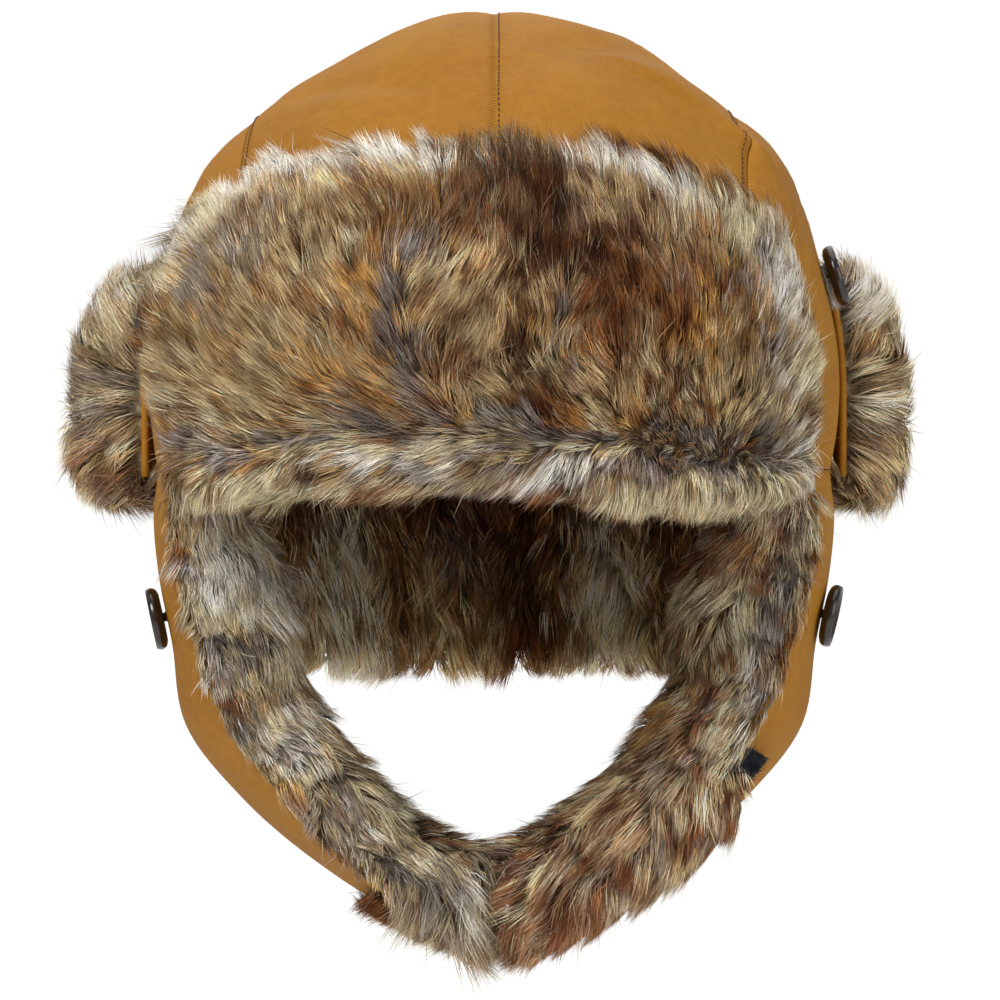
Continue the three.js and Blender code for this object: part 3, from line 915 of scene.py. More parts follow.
@dataclass
class BedPlan:
    """How a fur bed is laid out on the cloth's surface.

    Attributes:
        rows: The bed's rows, in order round it.
        face: 1 for fur on the outward side and -1 for a lining.
        swell: How much taller the fur is at each u.
        reach: How much further the bed reaches past the edge at each u.
        ripple: How far the rows near the parting are moved across the surface at each u.
        wrap: How far the rows below the cloth reach round its edge at each u.
        end_reach: Over what distance the fur rounds off at its two ends.
        first: The u at which the bed begins.
        last: The u at which it ends.
    """

    surface: Surface
    rows: tuple[BedRow, ...]
    face: int
    along: int
    across: int
    swell: Profile = np.ones_like
    reach: Profile = np.ones_like
    ripple: Profile = np.zeros_like
    wrap: Profile = np.ones_like
    end_reach: float = 14.0
    first: float = 0.0
    last: float = 1.0

    def lay(self) -> FurBed:
        """The bed.

        Returns:
            The bed's grid and its measures.
        """
        v, over, height = self._columns()
        u = np.linspace(self.first, self.last, self.along + 1)
        along = travelled(self.surface.at(u, np.full_like(u, 0.5)))
        from_end = np.minimum(along, along[-1] - along) / self.end_reach
        taper = np.sqrt(1 - (1 - np.clip(from_end, 0.0005, 1.0)) ** 2)
        tall = height[None, :] * (taper * self.swell(u))[:, None]
        past = over[None, :] * (lerp(0.5, 1.0, taper) * self.reach(u))[:, None]
        moved = self.ripple(u)[:, None] * bump(v, PARTING_V, PARTING_V)[None, :]
        grid_u, grid_v = u[:, None] + 0 * v[None, :], np.clip(v[None, :] + moved, 0.0, 1.0)
        share = np.where(height < 0, self.wrap(u)[:, None], 1.0)
        grid_v, tall = np.where(height < 0, grid_v * share, grid_v), tall * share
        points = self.surface.lifted(grid_u, grid_v, self.face * tall, past)
        flow_u, flow_v = np.gradient(points, axis=0), np.gradient(points, axis=1)
        normals = unit(np.cross(flow_u, flow_v))
        _, out, _ = self.surface.outward(grid_u, grid_v)
        centre = len(v) // 2
        if np.sum(normals[:, centre] * out[:, centre]) * self.face < 0:
            normals = -normals
        steps = np.linalg.norm(np.diff(points, axis=1), axis=-1).mean(axis=0)
        across = np.concatenate([[0.0], np.cumsum(steps)])
        return FurBed(points, normals, u, along, across, v, unit(flow_u), unit(flow_v))

    def _columns(self) -> tuple[Array, Array, Array]:
        """The v, distance past the edge and height of each column, on a curve through the rows.

        Returns:
            Three arrays with one value for each column.
        """
        table = np.array(self.rows, dtype=float)
        knots = travelled(np.stack([table[:, 0] * 100.0 + table[:, 1], table[:, 2]], axis=1))
        places = np.linspace(0, knots[-1], self.across + 1)
        index = np.clip(np.searchsorted(knots, places, side="right") - 1, 0, len(knots) - 2)
        span = knots[index + 1] - knots[index]
        t = (places - knots[index]) / span
        found = []
        for values in table.T:
            slopes = np.gradient(values, knots)
            leave, arrive = slopes[index] * span, slopes[index + 1] * span
            rise = (2 * t**3 - 3 * t**2 + 1) * values[index] + (t**3 - 2 * t**2 + t) * leave
            found.append(rise + (-2 * t**3 + 3 * t**2) * values[index + 1] + (t**3 - t**2) * arrive)
        return np.clip(found[0], 0.0, 1.0), found[1], found[2]


@dataclass(frozen=True)
class Tone:
    """The colours of a kind of hair at its root, middle and tip."""

    root: str
    middle: str
    tip: str

    def table(self) -> Array:
        """The three colours, one in each row."""
        return np.stack([linear(self.root), linear(self.middle), linear(self.tip)])


class Coat(Enum):
    """The kinds of hair in the fur."""

    GREY = Tone("#1a1616", "#544b4a", "#a49a92")
    OLIVE = Tone("#292018", "#c7b288", "#85643a")
    CREAM = Tone("#40372d", "#dacaa4", "#dccdac")
    PALE = Tone("#544c45", "#dacfbd", "#f4ede0")
    CHESTNUT = Tone("#160b05", "#7b4520", "#401c0b")
    GOLDEN = Tone("#2a1a0e", "#c4924f", "#723c14")
    ESPRESSO = Tone("#080302", "#49230c", "#241004")
    TIPPED = Tone("#433b38", "#ddcba6", "#8a4a1e")
    UMBER = Tone("#18100a", "#84602f", "#4a2a0f")
    TICKED = Tone("#1e130a", "#cfb182", "#55290e")


GREY, OLIVE, CREAM, PALE, CHESTNUT, GOLDEN, ESPRESSO, TIPPED, UMBER, TICKED = Coat
Mix = tuple[tuple[Coat, float], ...]


@dataclass(frozen=True)
class ColourPatch:
    """A patch of the fur with its own hair: an ellipse in the picture, turned by degrees anticlockwise."""

    x: float
    y: float
    wide: float
    tall: float
    turn: float
    coat: Coat
    strength: float

    def weight(self, x: Array, y: Array) -> Array:
        """How much of the patch's hair grows at each place in the picture.

        Args:
            x: The places' columns.
            y: Their rows.

        Returns:
            One weight for each place.
        """
        angle = math.radians(self.turn)
        right, down = x - self.x, y - self.y
        along = (right * math.cos(angle) - down * math.sin(angle)) / self.wide
        across = (right * math.sin(angle) + down * math.cos(angle)) / self.tall
        return self.strength * np.exp(-1.3 * (along**2 + across**2))


def patchwork(*rows: tuple[float, float, float, float, float, Coat, float]) -> tuple[ColourPatch, ...]:
    """Colour patches from rows of column, row, half-width, half-height, turn, coat and strength."""
    return tuple(ColourPatch(*row) for row in rows)


@dataclass(frozen=True)
class Colouring:
    """How hair is coloured over a fur.

    Attributes:
        base: The coats that are mixed over the whole fur, with their shares.
        patches: Patches with their own hair, placed in the picture.
        mottle: The size of the patches of the base mix.
        fleck: The size of the flecks where the tips or the middles of the hairs show.
        depth: How far back the patches reach.
        gain: How much lighter the whole fur is painted; for furs that lie in shade, as the neck lining and
            the right flap do, it is painted light.
    """

    base: Mix
    patches: tuple[ColourPatch, ...] = ()
    mottle: float = 16.0
    fleck: float = 4.6
    depth: float = 30.0
    gain: float = 1.0
    seed: int = 1

    def paint(self, centre: Array, grown: Array, lock: Array, rng: Random) -> Array:
        """The colours of each hair at the points along it.

        Args:
            centre: The points along each hair.
            grown: Distances along and round the bed, one pair for each hair.
            lock: A random number for each hair, the same throughout its clump.
            rng: The source of the random numbers.

        Returns:
            Red, green and blue for each hair and point.
        """
        along, across = grown[:, 0], grown[:, 1]
        places = lerp(centre[:, 0], centre[:, -1], 0.7)
        x, y = VIEW.pixels(places)
        for size, reach in ((9.0, 22.0), (3.0, 13.0)):
            x = x + reach * (value_noise(along, across, size, self.seed) - 0.5)
            y = y + reach * (value_noise(along, across, size, self.seed + 9) - 0.5)
        kinds, weights = [], []
        for index, (coat, share) in enumerate(self.base):
            mixed = 0.7 * value_noise(along, across * 1.3, self.mottle, self.seed + 20 + index)
            mixed = mixed + 0.3 * value_noise(along, across, self.mottle / 3, self.seed + 40 + index)
            kinds.append(coat)
            weights.append(share * np.exp(7.0 * (mixed - 0.5)))
        front = smoothstep(self.depth - places[:, 1], 0.0, 40.0)
        kinds += [patch.coat for patch in self.patches]
        weights += [patch.weight(x, y) * front for patch in self.patches]
        shares = np.stack(weights, axis=1)
        shares = shares / shares.sum(axis=1, keepdims=True)
        tables = np.stack([kind.value.table() for kind in kinds])
        chosen = np.argmax(np.cumsum(shares, axis=1) >= lock[:, None], axis=1)
        keys = 0.4 * np.einsum("nk,kpc->npc", shares, tables) + 0.6 * tables[chosen]
        coarse = space_noise(centre, self.fleck, self.seed + 60) - 0.5
        fine = space_noise(centre, self.fleck / 2.3, self.seed + 61) - 0.5
        ripe = np.array([0.0, 0.2, 0.72]) + (3.4 * coarse + 1.3 * fine) * np.array([0.0, 0.9, 1.0])
        colours = lerp(keys[:, 1:2], keys[:, 2:3], np.clip(ripe, 0.0, 1.0)[..., None])
        colours = lerp(colours, keys[:, 0:1], np.array([0.9, 0.06, 0.0])[None, :, None])
        broad = value_noise(along, across, 5.5, self.seed + 80) - 0.5
        level = np.exp(0.36 * rng.normal(size=len(lock)) + 0.45 * (lock - 0.5) + 0.6 * broad)
        # The gain lightens the fur's colour; for furs that lie in shade it is painted light.
        return self.gain * colours * level[:, None, None]


def combed(strokes: Sequence[Stroke]) -> Flow:
    """A flow from brush strokes placed in the picture, each with its column, row, angle and reach.

    Args:
        strokes: The strokes, with 0 degrees to the right and 90 up.

    Returns:
        The flow.
    """

    def flow(roots: Roots) -> Array:
        """The direction of the nearest strokes, seen from the front.

        Args:
            roots: Where the hair grows.

        Returns:
            The directions.
        """
        x, y = VIEW.pixels(roots.point)
        total = np.zeros((len(x), 2))
        for column, row, degrees, reach in strokes:
            away = ((x - column) ** 2 + (y - row) ** 2) / reach**2
            weight = np.exp(-away) + 1e-4 / (1.0 + away)
            angle = math.radians(degrees)
            total += weight[:, None] * np.array([math.cos(angle), math.sin(angle)])
        return np.stack([total[:, 0], np.zeros(len(x)), total[:, 1]], axis=1)

    return flow


@dataclass(frozen=True)
class FurStyle:
    """The cut of a fur.

    Attributes:
        width: The width of a hair at its thickest.
        lift_deg: How steeply a hair leaves the bed.
        settle: How far its tip bends back down, as a share of its length.
        lock: The size of a lock.
        clump: The size of a clump within a lock.
        lock_pull: How far clumps are drawn together in a lock.
        clump_pull: How far hairs are drawn together in a clump.
        stray: The share of hairs that stand out from the rest.
        spread_deg: How much the hairs' directions vary.
        tousle_deg: How much the locks' directions vary.
    """

    count: int
    length: float
    width: float
    lift_deg: float
    settle: float = 0.32
    lock: float = 11.0
    clump: float = 3.0
    lock_pull: float = 0.35
    clump_pull: float = 0.6
    stray: float = 0.04
    spread_deg: float = 9.0
    tousle_deg: float = 14.0


STEPS = np.array([0.05, 0.5, 1.0])
STRAY_COLOUR = "#a89c88"


@dataclass
class Fur:
    """A fur that grows from a bed, brushed along a flow.

    Attributes:
        seed: The seed of its locks.
        draw: The seed of its single hairs.
        density: How densely it grows at each place along and round the bed.
        length: How long it grows there, as a share of the style's length.
    """

    name: str
    bed: FurBed
    style: FurStyle
    flow: Flow
    colouring: Colouring
    seed: int
    draw: int
    density: Spread = lambda along, across: np.ones_like(along * across)
    length: Spread = lambda along, across: np.ones_like(along * across)

    def build(self, material: Material) -> Object:
        """The fur as ribbons joined in one mesh.

        Args:
            material: The fur's material.

        Returns:
            The piece.
        """
        rng = np.random.default_rng(self.draw)
        row, column = self._scatter(rng)
        centre, colours, normals = self._strands(row, column, rng)
        return dressed(self._ribbons(centre, colours, normals, rng), Slot.FUR, material)

    def _scatter(self, rng: Random) -> tuple[Array, Array]:
        """Where each hair grows, in grid steps, by area and density.

        Args:
            rng: The source of the random numbers.

        Returns:
            The places along and round the bed.
        """
        bed, count = self.bed, self.style.count
        along = (bed.along[1:] + bed.along[:-1]) / 2
        across = (bed.across[1:] + bed.across[:-1]) / 2
        weight = quad_areas(bed.points) * self.density(along[:, None], across[None, :])
        total = np.cumsum(weight.reshape(-1))
        cell = np.minimum(np.searchsorted(total, rng.random(count) * total[-1]), weight.size - 1)
        columns = weight.shape[1]
        return cell // columns + rng.random(count), cell % columns + rng.random(count)

    @staticmethod
    def _cell(along: Array, across: Array, size: float, seed: int) -> tuple[Array, Array, Array]:
        """The nearest of a scatter of centres.

        Args:
            along: Distances along the bed.
            across: Distances round it.
            size: The mean distance between centres.
            seed: The seed of the scatter.

        Returns:
            The centre's distances along and round the bed, and a random number for each centre.
        """
        column, row = np.floor(along / size), np.floor(across / size)
        best = np.full(len(along), np.inf)
        found = (np.zeros(len(along)),) * 3
        for i in (-1, 0, 1):
            for j in (-1, 0, 1):
                a, b = column + i, row + j
                centre_a, centre_b = (a + hash01(a, b, seed)) * size, (b + hash01(a, b, seed + 1)) * size
                away = (along - centre_a) ** 2 + (across - centre_b) ** 2
                nearer = away < best
                best = np.where(nearer, away, best)
                values = (centre_a, centre_b, hash01(a, b, seed + 2))
                found = tuple(np.where(nearer, value, old) for value, old in zip(values, found))
        return found

    def _axis(
        self, row: Array, column: Array, length: Array, lift: Array, turn: Array
    ) -> tuple[Array, Array]:
        """The points along hairs, and the directions out of the fur at their roots.

        Args:
            row: Where they grow along the bed, in grid steps.
            column: Where they grow round it, in grid steps.
            length: Their lengths.
            lift: How steeply they leave the bed, in radians.
            turn: How far they turn from the flow, in radians.

        Returns:
            The points and the directions.
        """
        roots = self.bed.sample(row, column)
        wanted = unit(self.flow(roots))
        flat = unit(wanted - dot(wanted, roots.normal) * roots.normal)
        aside = np.cross(roots.normal, flat)
        flat = flat * np.cos(turn)[:, None] + aside * np.sin(turn)[:, None]
        rise = np.sin(lift)[:, None] * STEPS - self.style.settle * STEPS**2
        run = np.cos(lift)[:, None] * STEPS + 0.12 * STEPS**2
        offset = flat[:, None, :] * run[:, :, None] + roots.normal[:, None, :] * rise[:, :, None]
        return roots.point[:, None, :] + offset * length[:, None, None], roots.normal

    def _strands(self, row: Array, column: Array, rng: Random) -> tuple[Array, Array, Array]:
        """The points along each hair, their colours, and the directions out of the fur.

        Args:
            row: Where they grow along the bed, in grid steps.
            column: Where they grow round it, in grid steps.
            rng: The source of the random numbers.

        Returns:
            The points, the colours and the directions.
        """
        style, bed, count = self.style, self.bed, len(row)
        index_u, index_v = np.arange(len(bed.along)), np.arange(len(bed.across))
        along, across = np.interp(row, index_u, bed.along), np.interp(column, index_v, bed.across)
        clump = self._cell(along, across, style.clump, self.seed * 7 + 1)
        lock = self._cell(clump[0], clump[1], style.lock, self.seed * 7 + 5)
        grown = style.length * self.length(along, across)
        long_lock = grown * lerp(0.82, 1.18, lock[2])
        tall = long_lock * lerp(0.85, 1.15, clump[2])
        lift = math.radians(style.lift_deg) * lerp(0.75, 1.25, hash01(lock[0], lock[1], 3))
        turn_lock = math.radians(style.tousle_deg) * (hash01(lock[0] * 3, lock[1] * 3, 4) - 0.5) * 2
        turn_clump = turn_lock + math.radians(9.0) * (hash01(clump[0] * 5, clump[1] * 5, 6) - 0.5) * 2
        spread = math.radians(style.spread_deg) * rng.normal(size=count)
        clump_at, lock_at = (
            (np.interp(cell[0], bed.along, index_u), np.interp(cell[1], bed.across, index_v))
            for cell in (clump, lock)
        )
        own_length = tall * lerp(0.8, 1.2, rng.random(count))
        own, normal = self._axis(row, column, own_length, lift, turn_clump + spread)
        middle, _ = self._axis(*clump_at, tall, lift, turn_clump)
        lead, _ = self._axis(*lock_at, long_lock, lift, turn_lock)
        pull = (STEPS**1.4)[None, :, None]
        middle = lerp(middle, lead, style.lock_pull * pull)
        stray = rng.random(count) < style.stray
        hold = np.where(stray, 0.1, style.clump_pull * lerp(0.6, 1.2, rng.random(count)))
        centre = lerp(own, middle, hold[:, None, None] * pull)
        wild = rng.normal(size=(count, 3)) * np.where(stray, 2.6, 0.35)[:, None]
        centre = centre + wild[:, None, :] * (STEPS**2)[None, :, None]
        colours = self.colouring.paint(centre, np.stack([along, across], axis=1), clump[2], rng)
        colours = np.where(stray[:, None, None], lerp(colours, linear(STRAY_COLOUR), 0.45), colours)
        return centre, colours, normal

    def _ribbons(self, centre: Array, colours: Array, normal: Array, rng: Random) -> Object:
        """The mesh of flat ribbons along the hairs, with normals that follow the fur.

        Args:
            centre: The points along each hair.
            colours: Their colours.
            normal: The direction out of the fur at each root.
            rng: The source of the random numbers.

        Returns:
            The mesh's object.
        """
        count = len(centre)
        forward = unit(np.gradient(centre, axis=1))
        out = normal[:, None, :] + 0.22 * rng.normal(size=(count, 1, 3))
        out = unit(out - dot(out, forward) * forward)
        aside = unit(np.cross(forward, out))
        roll = rng.normal(size=count) * 0.6
        flat = aside * np.cos(roll)[:, None, None] + out * np.sin(roll)[:, None, None]
        width = self.style.width * lerp(0.6, 1.3, rng.random(count))
        half = (width[:, None] * np.array([0.9, 1.0, 0.0]) / 2)[:, :, None] * flat
        pairs = np.stack([centre - half, centre + half], axis=2)
        points = np.concatenate([pairs[:, :2].reshape(count, 4, 3), centre[:, 2:]], axis=1)
        shade, outs = (
            np.concatenate([np.repeat(values[:, :2], 2, axis=1), values[:, 2:]], axis=1)
            for values in (colours, out)
        )
        first = np.arange(count)[:, None] * 5
        faces = Faces()
        faces.add(first + np.array([0, 1, 3, 2]))
        faces.add(first + np.array([2, 3, 4]))
        made = make_object(self.name, to_world(points.reshape(-1, 3)), faces)
        set_colours(made, np.clip(shade.reshape(-1, 3), 0.0, 1.0))
        made.data.normals_split_custom_set_from_vertices(outs.reshape(-1, 3).tolist())
        return made


@dataclass
class Underfur:
    """The dense short hair close to the skin of a fur, as a soft mass a little below its beds, darkened by a
    painted shade for the depth of the fur.
    """

    name: str
    beds: Sequence[FurBed]
    colouring: Colouring
    seed: int
    sink: float = 1.5
    # How dark the undercoat is beside the hairs' middles: a painted shade for the depth between the hairs.
    shade: float = 0.5

    def build(self, material: Material) -> Object:
        """The beds' grids as one mesh, painted as the hairs' middles are but darker, a painted shade deep in
        the fur.

        Args:
            material: Its material.

        Returns:
            The piece.
        """
        rng = np.random.default_rng(self.seed)
        parts, colours = Parts(), []
        for bed in self.beds:
            rows, columns = bed.points.shape[:2]
            grid = (bed.points - bed.normals * self.sink).reshape(-1, 3)
            spots = np.stack(np.meshgrid(bed.along, bed.across, indexing="ij"), axis=-1).reshape(-1, 2)
            hairs = np.repeat(grid[:, None], len(STEPS), axis=1)
            # The hairs' middle colours, darkened by the painted shade.
            colours.append(self.colouring.paint(hairs, spots, rng.random(len(grid)), rng)[:, 1] * self.shade)
            parts.add(grid, grid_faces(rows, columns))
        made = parts.build(self.name, Slot.FUR, material)
        set_colours(made, np.clip(np.concatenate(colours), 0.0, 1.0))
        return made


# Materials
class Graph:
    """The nodes of a material or a node group, with short ways to add and join them."""

    def __init__(self, tree: bpy.types.NodeTree) -> None:
        """Takes a node tree."""
        self.tree = tree

    def add(self, kind: str, settings: dict[str, object] | None = None, **sockets: object) -> bpy.types.Node:
        """Adds a node.

        Args:
            kind: The node's type, without its common first part.
            settings: The node's own settings.
            **sockets: Values or other nodes' outputs for its inputs, by name with _ for a space.

        Returns:
            The node.
        """
        node = self.tree.nodes.new("ShaderNode" + kind)
        for name, value in (settings or {}).items():
            setattr(node, name, value)
        for name, value in sockets.items():
            self.feed(node.inputs[name.replace("_", " ")], value)
        return node

    def feed(self, socket: Socket, value: object) -> None:
        """Joins an output to a socket, or sets the socket's value."""
        if isinstance(value, bpy.types.NodeSocket):
            self.tree.links.new(value, socket)
        else:
            socket.default_value = value

    def blend(self, kind: str, settings: dict[str, object], values: dict[int, object], result: int) -> Socket:
        """Adds a node whose inputs are told apart by their numbers, and gives the output of a number.

        Args:
            kind: The node's type, without its common first part.
            settings: The node's own settings.
            values: Values or other nodes' outputs, by the number of the input.
            result: The number of the output.

        Returns:
            The output.
        """
        node = self.add(kind, settings)
        for index, value in values.items():
            self.feed(node.inputs[index], value)
        return node.outputs[result]

    def math(self, operation: str, *values: object) -> Socket:
        """The result of a sum on up to three values."""
        return self.blend("Math", {"operation": operation}, dict(enumerate(values)), 0)

    def mix(self, share: object, first: object, second: object) -> Socket:
        """Two colours mixed."""
        return self.blend("Mix", {"data_type": "RGBA"}, {0: share, 6: first, 7: second}, 2)

    def noise(self, scale: object, detail: float, place: object) -> Socket:
        """A noise texture's value."""
        return self.add("TexNoise", Scale=scale, Detail=detail, Vector=place).outputs[0]

    def solid(self) -> Socket:
        """The coordinates in the frame, in metres."""
        return self.add("TexCoord").outputs["Object"]

    def clamp(self, value: object, gain: float, offset: object) -> Socket:
        """A value times a gain and plus an offset, kept from 0 to 1."""
        return self.add("Clamp", Value=self.math("MULTIPLY_ADD", value, gain, offset)).outputs[0]

    def bump(self, height: Socket, strength: float, distance: float) -> Socket:
        """The normals of a relief."""
        return self.add("Bump", Strength=strength, Distance=distance, Height=height).outputs[0]


def new_group(name: str, inputs: Inputs, outputs: Sequence[str]) -> tuple[Graph, Sockets, Sockets]:
    """An empty node group with its sockets.

    Args:
        name: The group's name.
        inputs: The default value of each input, and None for a vector.
        outputs: The name of each output, a value.

    Returns:
        The group's graph, its inputs as they come in, and its outputs' sockets.
    """
    group = bpy.data.node_groups.new(name, "ShaderNodeTree")
    for label, value in inputs.items():
        kind = "NodeSocketVector" if value is None else "NodeSocketFloat"
        socket = group.interface.new_socket(label, in_out="INPUT", socket_type=kind)
        if value is not None:
            socket.default_value = value
    for label in outputs:
        group.interface.new_socket(label, in_out="OUTPUT", socket_type="NodeSocketFloat")
    entry, leave = (group.nodes.new("NodeGroup" + kind) for kind in ("Input", "Output"))
    return Graph(group), entry.outputs, leave.inputs


class Effects:
    """Node groups that several finishes share."""

    def __init__(self) -> None:
        """Builds the groups."""
        self.weave = self._weave()
        self.mottle = self._mottle()

    def _weave(self) -> bpy.types.NodeTree:
        """Crossed yarns: a height and a shade over flat coordinates in millimetres.

        Returns:
            The group.
        """
        inputs = {"Vector": None, "Pitch": 1.0, "Slant": 0.6}
        graph, given, wanted = new_group("Weave", inputs, ("Height", "Shade"))
        split = graph.add("SeparateXYZ", Vector=given["Vector"])
        turn = graph.math("DIVIDE", 2 * math.pi, given["Pitch"])
        slanted = graph.math("MULTIPLY_ADD", split.outputs[1], given["Slant"], split.outputs[0])
        twill = graph.math("SINE", graph.math("MULTIPLY", slanted, turn))
        weft = graph.math("SINE", graph.math("MULTIPLY", split.outputs[1], graph.math("MULTIPLY", turn, 1.6)))
        slub = graph.noise(0.9, 3.0, given["Vector"])
        height = graph.math("MULTIPLY_ADD", weft, 0.35, graph.math("MULTIPLY_ADD", slub, 1.6, twill))
        graph.feed(wanted["Height"], height)
        graph.feed(wanted["Shade"], graph.math("MULTIPLY_ADD", twill, 0.5, 0.5))
        return graph.tree

    def _mottle(self) -> bpy.types.NodeTree:
        """Uneven tone: a value from 0 to 1 that changes slowly, with a finer grain on it.

        Returns:
            The group.
        """
        inputs = {"Vector": None, "Scale": 30.0, "Grain": 0.3}
        graph, given, wanted = new_group("Mottle", inputs, ("Value",))
        broad = graph.noise(given["Scale"], 3.0, given["Vector"])
        fine = graph.noise(graph.math("MULTIPLY", given["Scale"], 12.0), 2.0, given["Vector"])
        mixed = graph.blend("Mix", {"data_type": "FLOAT"}, {0: given["Grain"], 2: broad, 3: fine}, 0)
        graph.feed(wanted["Value"], mixed)
        return graph.tree

    def use(self, graph: Graph, group: bpy.types.NodeTree, **sockets: object) -> Sockets:
        """Adds one of the groups to a graph.

        Args:
            graph: The graph.
            group: The group.
            **sockets: Values or other nodes' outputs for its inputs, by name.

        Returns:
            The group's outputs.
        """
        node = graph.tree.nodes.new("ShaderNodeGroup")
        node.node_tree = group
        for name, value in sockets.items():
            graph.feed(node.inputs[name], value)
        return node.outputs


class Finish(ABC):
    """A finish that can be made into a material."""

    name: str

    @abstractmethod
    def dress(self, graph: Graph, effects: Effects) -> dict[str, object]:
        """Adds the finish's nodes.

        Args:
            graph: The material's graph.
            effects: The shared node groups.

        Returns:
            Values or outputs for the surface shader's inputs, by name.
        """

    def make(self, effects: Effects) -> Material:
        """The material.

        Args:
            effects: The shared node groups.

        Returns:
            The material.
        """
        material = bpy.data.materials.new(self.name)
        material.use_nodes = True
        material.node_tree.nodes.clear()
        graph = Graph(material.node_tree)
        shader = graph.add("BsdfPrincipled")
        for name, value in self.dress(graph, effects).items():
            graph.feed(shader.inputs[name], value)
        graph.add("OutputMaterial", Surface=shader.outputs[0])
        return material


@dataclass(frozen=True)
class ShellFabric(Finish):
    """Smooth coated twill in ochre."""

    name: str = "shell_fabric"
    light: str = "#bf8628"
    dark: str = "#9d6415"
    pitch: float = 1.15

    def dress(self, graph: Graph, effects: Effects) -> dict[str, object]:
        """Adds the twill, its uneven tone and its bump.

        Args:
            graph: The material's graph.
            effects: The shared node groups.

        Returns:
            Values or outputs for the surface shader's inputs, by name.
        """
        flat = graph.add("TexCoord").outputs["UV"]
        weave = effects.use(graph, effects.weave, Vector=flat, Pitch=self.pitch)
        tone = effects.use(graph, effects.mottle, Vector=graph.solid(), Scale=22.0, Grain=0.35)["Value"]
        share = graph.clamp(weave["Shade"], 0.4, graph.math("MULTIPLY_ADD", tone, 1.8, -0.6))
        return {
            "Base Color": graph.mix(share, rgba(self.dark), rgba(self.light)),
            "Roughness": graph.math("MULTIPLY_ADD", tone, 0.2, 0.52),
            "Normal": graph.bump(weave["Height"], 0.5, 0.00022), "Specular IOR Level": 0.2,
        }


@dataclass(frozen=True)
class HairFinish(Finish):
    """Synthetic fur, coloured hair by hair."""

    name: str = "faux_fur"
    rough: float = 0.55
    shine: float = 0.08
    gain: float = 1.1

    def dress(self, graph: Graph, effects: Effects) -> dict[str, object]:
        """Adds the hairs' own colours with a slight change of tone.

        Args:
            graph: The material's graph.
            effects: The shared node groups.

        Returns:
            Values or outputs for the surface shader's inputs, by name.
        """
        tone = effects.use(graph, effects.mottle, Vector=graph.solid(), Scale=60.0, Grain=0.5)["Value"]
        level = graph.math("MULTIPLY_ADD", tone, 0.5, self.gain - 0.25)
        hair = graph.add("VertexColor", {"layer_name": HAIR_LAYER}).outputs["Color"]
        colour = graph.add("HueSaturation", Value=level, Color=hair).outputs[0]
        return {"Base Color": colour, "Roughness": self.rough, "Specular IOR Level": self.shine}


@dataclass(frozen=True)
class UnderfurFinish(Finish):
    """The dense short hair at the skin of the fur, in streaks over the hair's own colours."""

    name: str = "fur_undercoat"

    def dress(self, graph: Graph, effects: Effects) -> dict[str, object]:
        """Adds the streaks.

        Args:
            graph: The material's graph.
            effects: The shared node groups.

        Returns:
            Values or outputs for the surface shader's inputs, by name.
        """
        grain = graph.noise(900.0, 4.0, graph.solid())
        hair = graph.add("VertexColor", {"layer_name": HAIR_LAYER}).outputs["Color"]
        level = graph.math("MULTIPLY_ADD", grain, 1.6, 0.1)
        colour = graph.add("HueSaturation", Value=level, Color=hair).outputs[0]
        relief = graph.bump(grain, 1.0, 0.0015)
        return {"Base Color": colour, "Roughness": 0.9, "Normal": relief, "Specular IOR Level": 0.1}


@dataclass(frozen=True)
class Horn(Finish):
    """Dark polished horn with faint streaks."""

    name: str = "button_horn"
    dark: str = "#0d0806"
    light: str = "#3a2216"

    def dress(self, graph: Graph, effects: Effects) -> dict[str, object]:
        """Adds the streaks and the polish.

        Args:
            graph: The material's graph.
            effects: The shared node groups.

        Returns:
            Values or outputs for the surface shader's inputs, by name.
        """
        solid = graph.solid()
        stretched = graph.add("Mapping", Vector=solid, Scale=(1.0, 1.0, 5.0)).outputs[0]
        share = graph.clamp(graph.noise(160.0, 6.0, stretched), 2.6, -1.05)
        return {
            "Base Color": graph.mix(share, rgba(self.dark), rgba(self.light)),
            "Roughness": graph.math("MULTIPLY_ADD", graph.noise(1200.0, 3.0, solid), 0.22, 0.12),
            "Specular IOR Level": 0.6, "Coat Weight": 0.35, "Coat Roughness": 0.08,
        }


@dataclass(frozen=True)
class Fibres(Finish):
    """Matt fibres: two tones mixed by a fine grain, which is also their relief.

    Attributes:
        scale: How fine the grain is.
        detail: How many finer grains are on it.
        gain: How sharply it parts the two tones.
        offset: How much of the light tone is added.
        strength: How strong the relief is.
        depth: How deep it is, in metres.
    """

    name: str
    light: str
    dark: str
    scale: float
    detail: float
    gain: float
    offset: float
    strength: float
    depth: float
    rough: float
    sheen: float = 0.0

    def dress(self, graph: Graph, effects: Effects) -> dict[str, object]:
        """Adds the grain.

        Args:
            graph: The material's graph.
            effects: The shared node groups.

        Returns:
            Values or outputs for the surface shader's inputs, by name.
        """
        grain = graph.noise(self.scale, self.detail, graph.solid())
        share = graph.clamp(grain, self.gain, self.offset)
        return {
            "Base Color": graph.mix(share, rgba(self.dark), rgba(self.light)), "Roughness": self.rough,
            "Normal": graph.bump(grain, self.strength, self.depth), "Sheen Weight": self.sheen,
        }


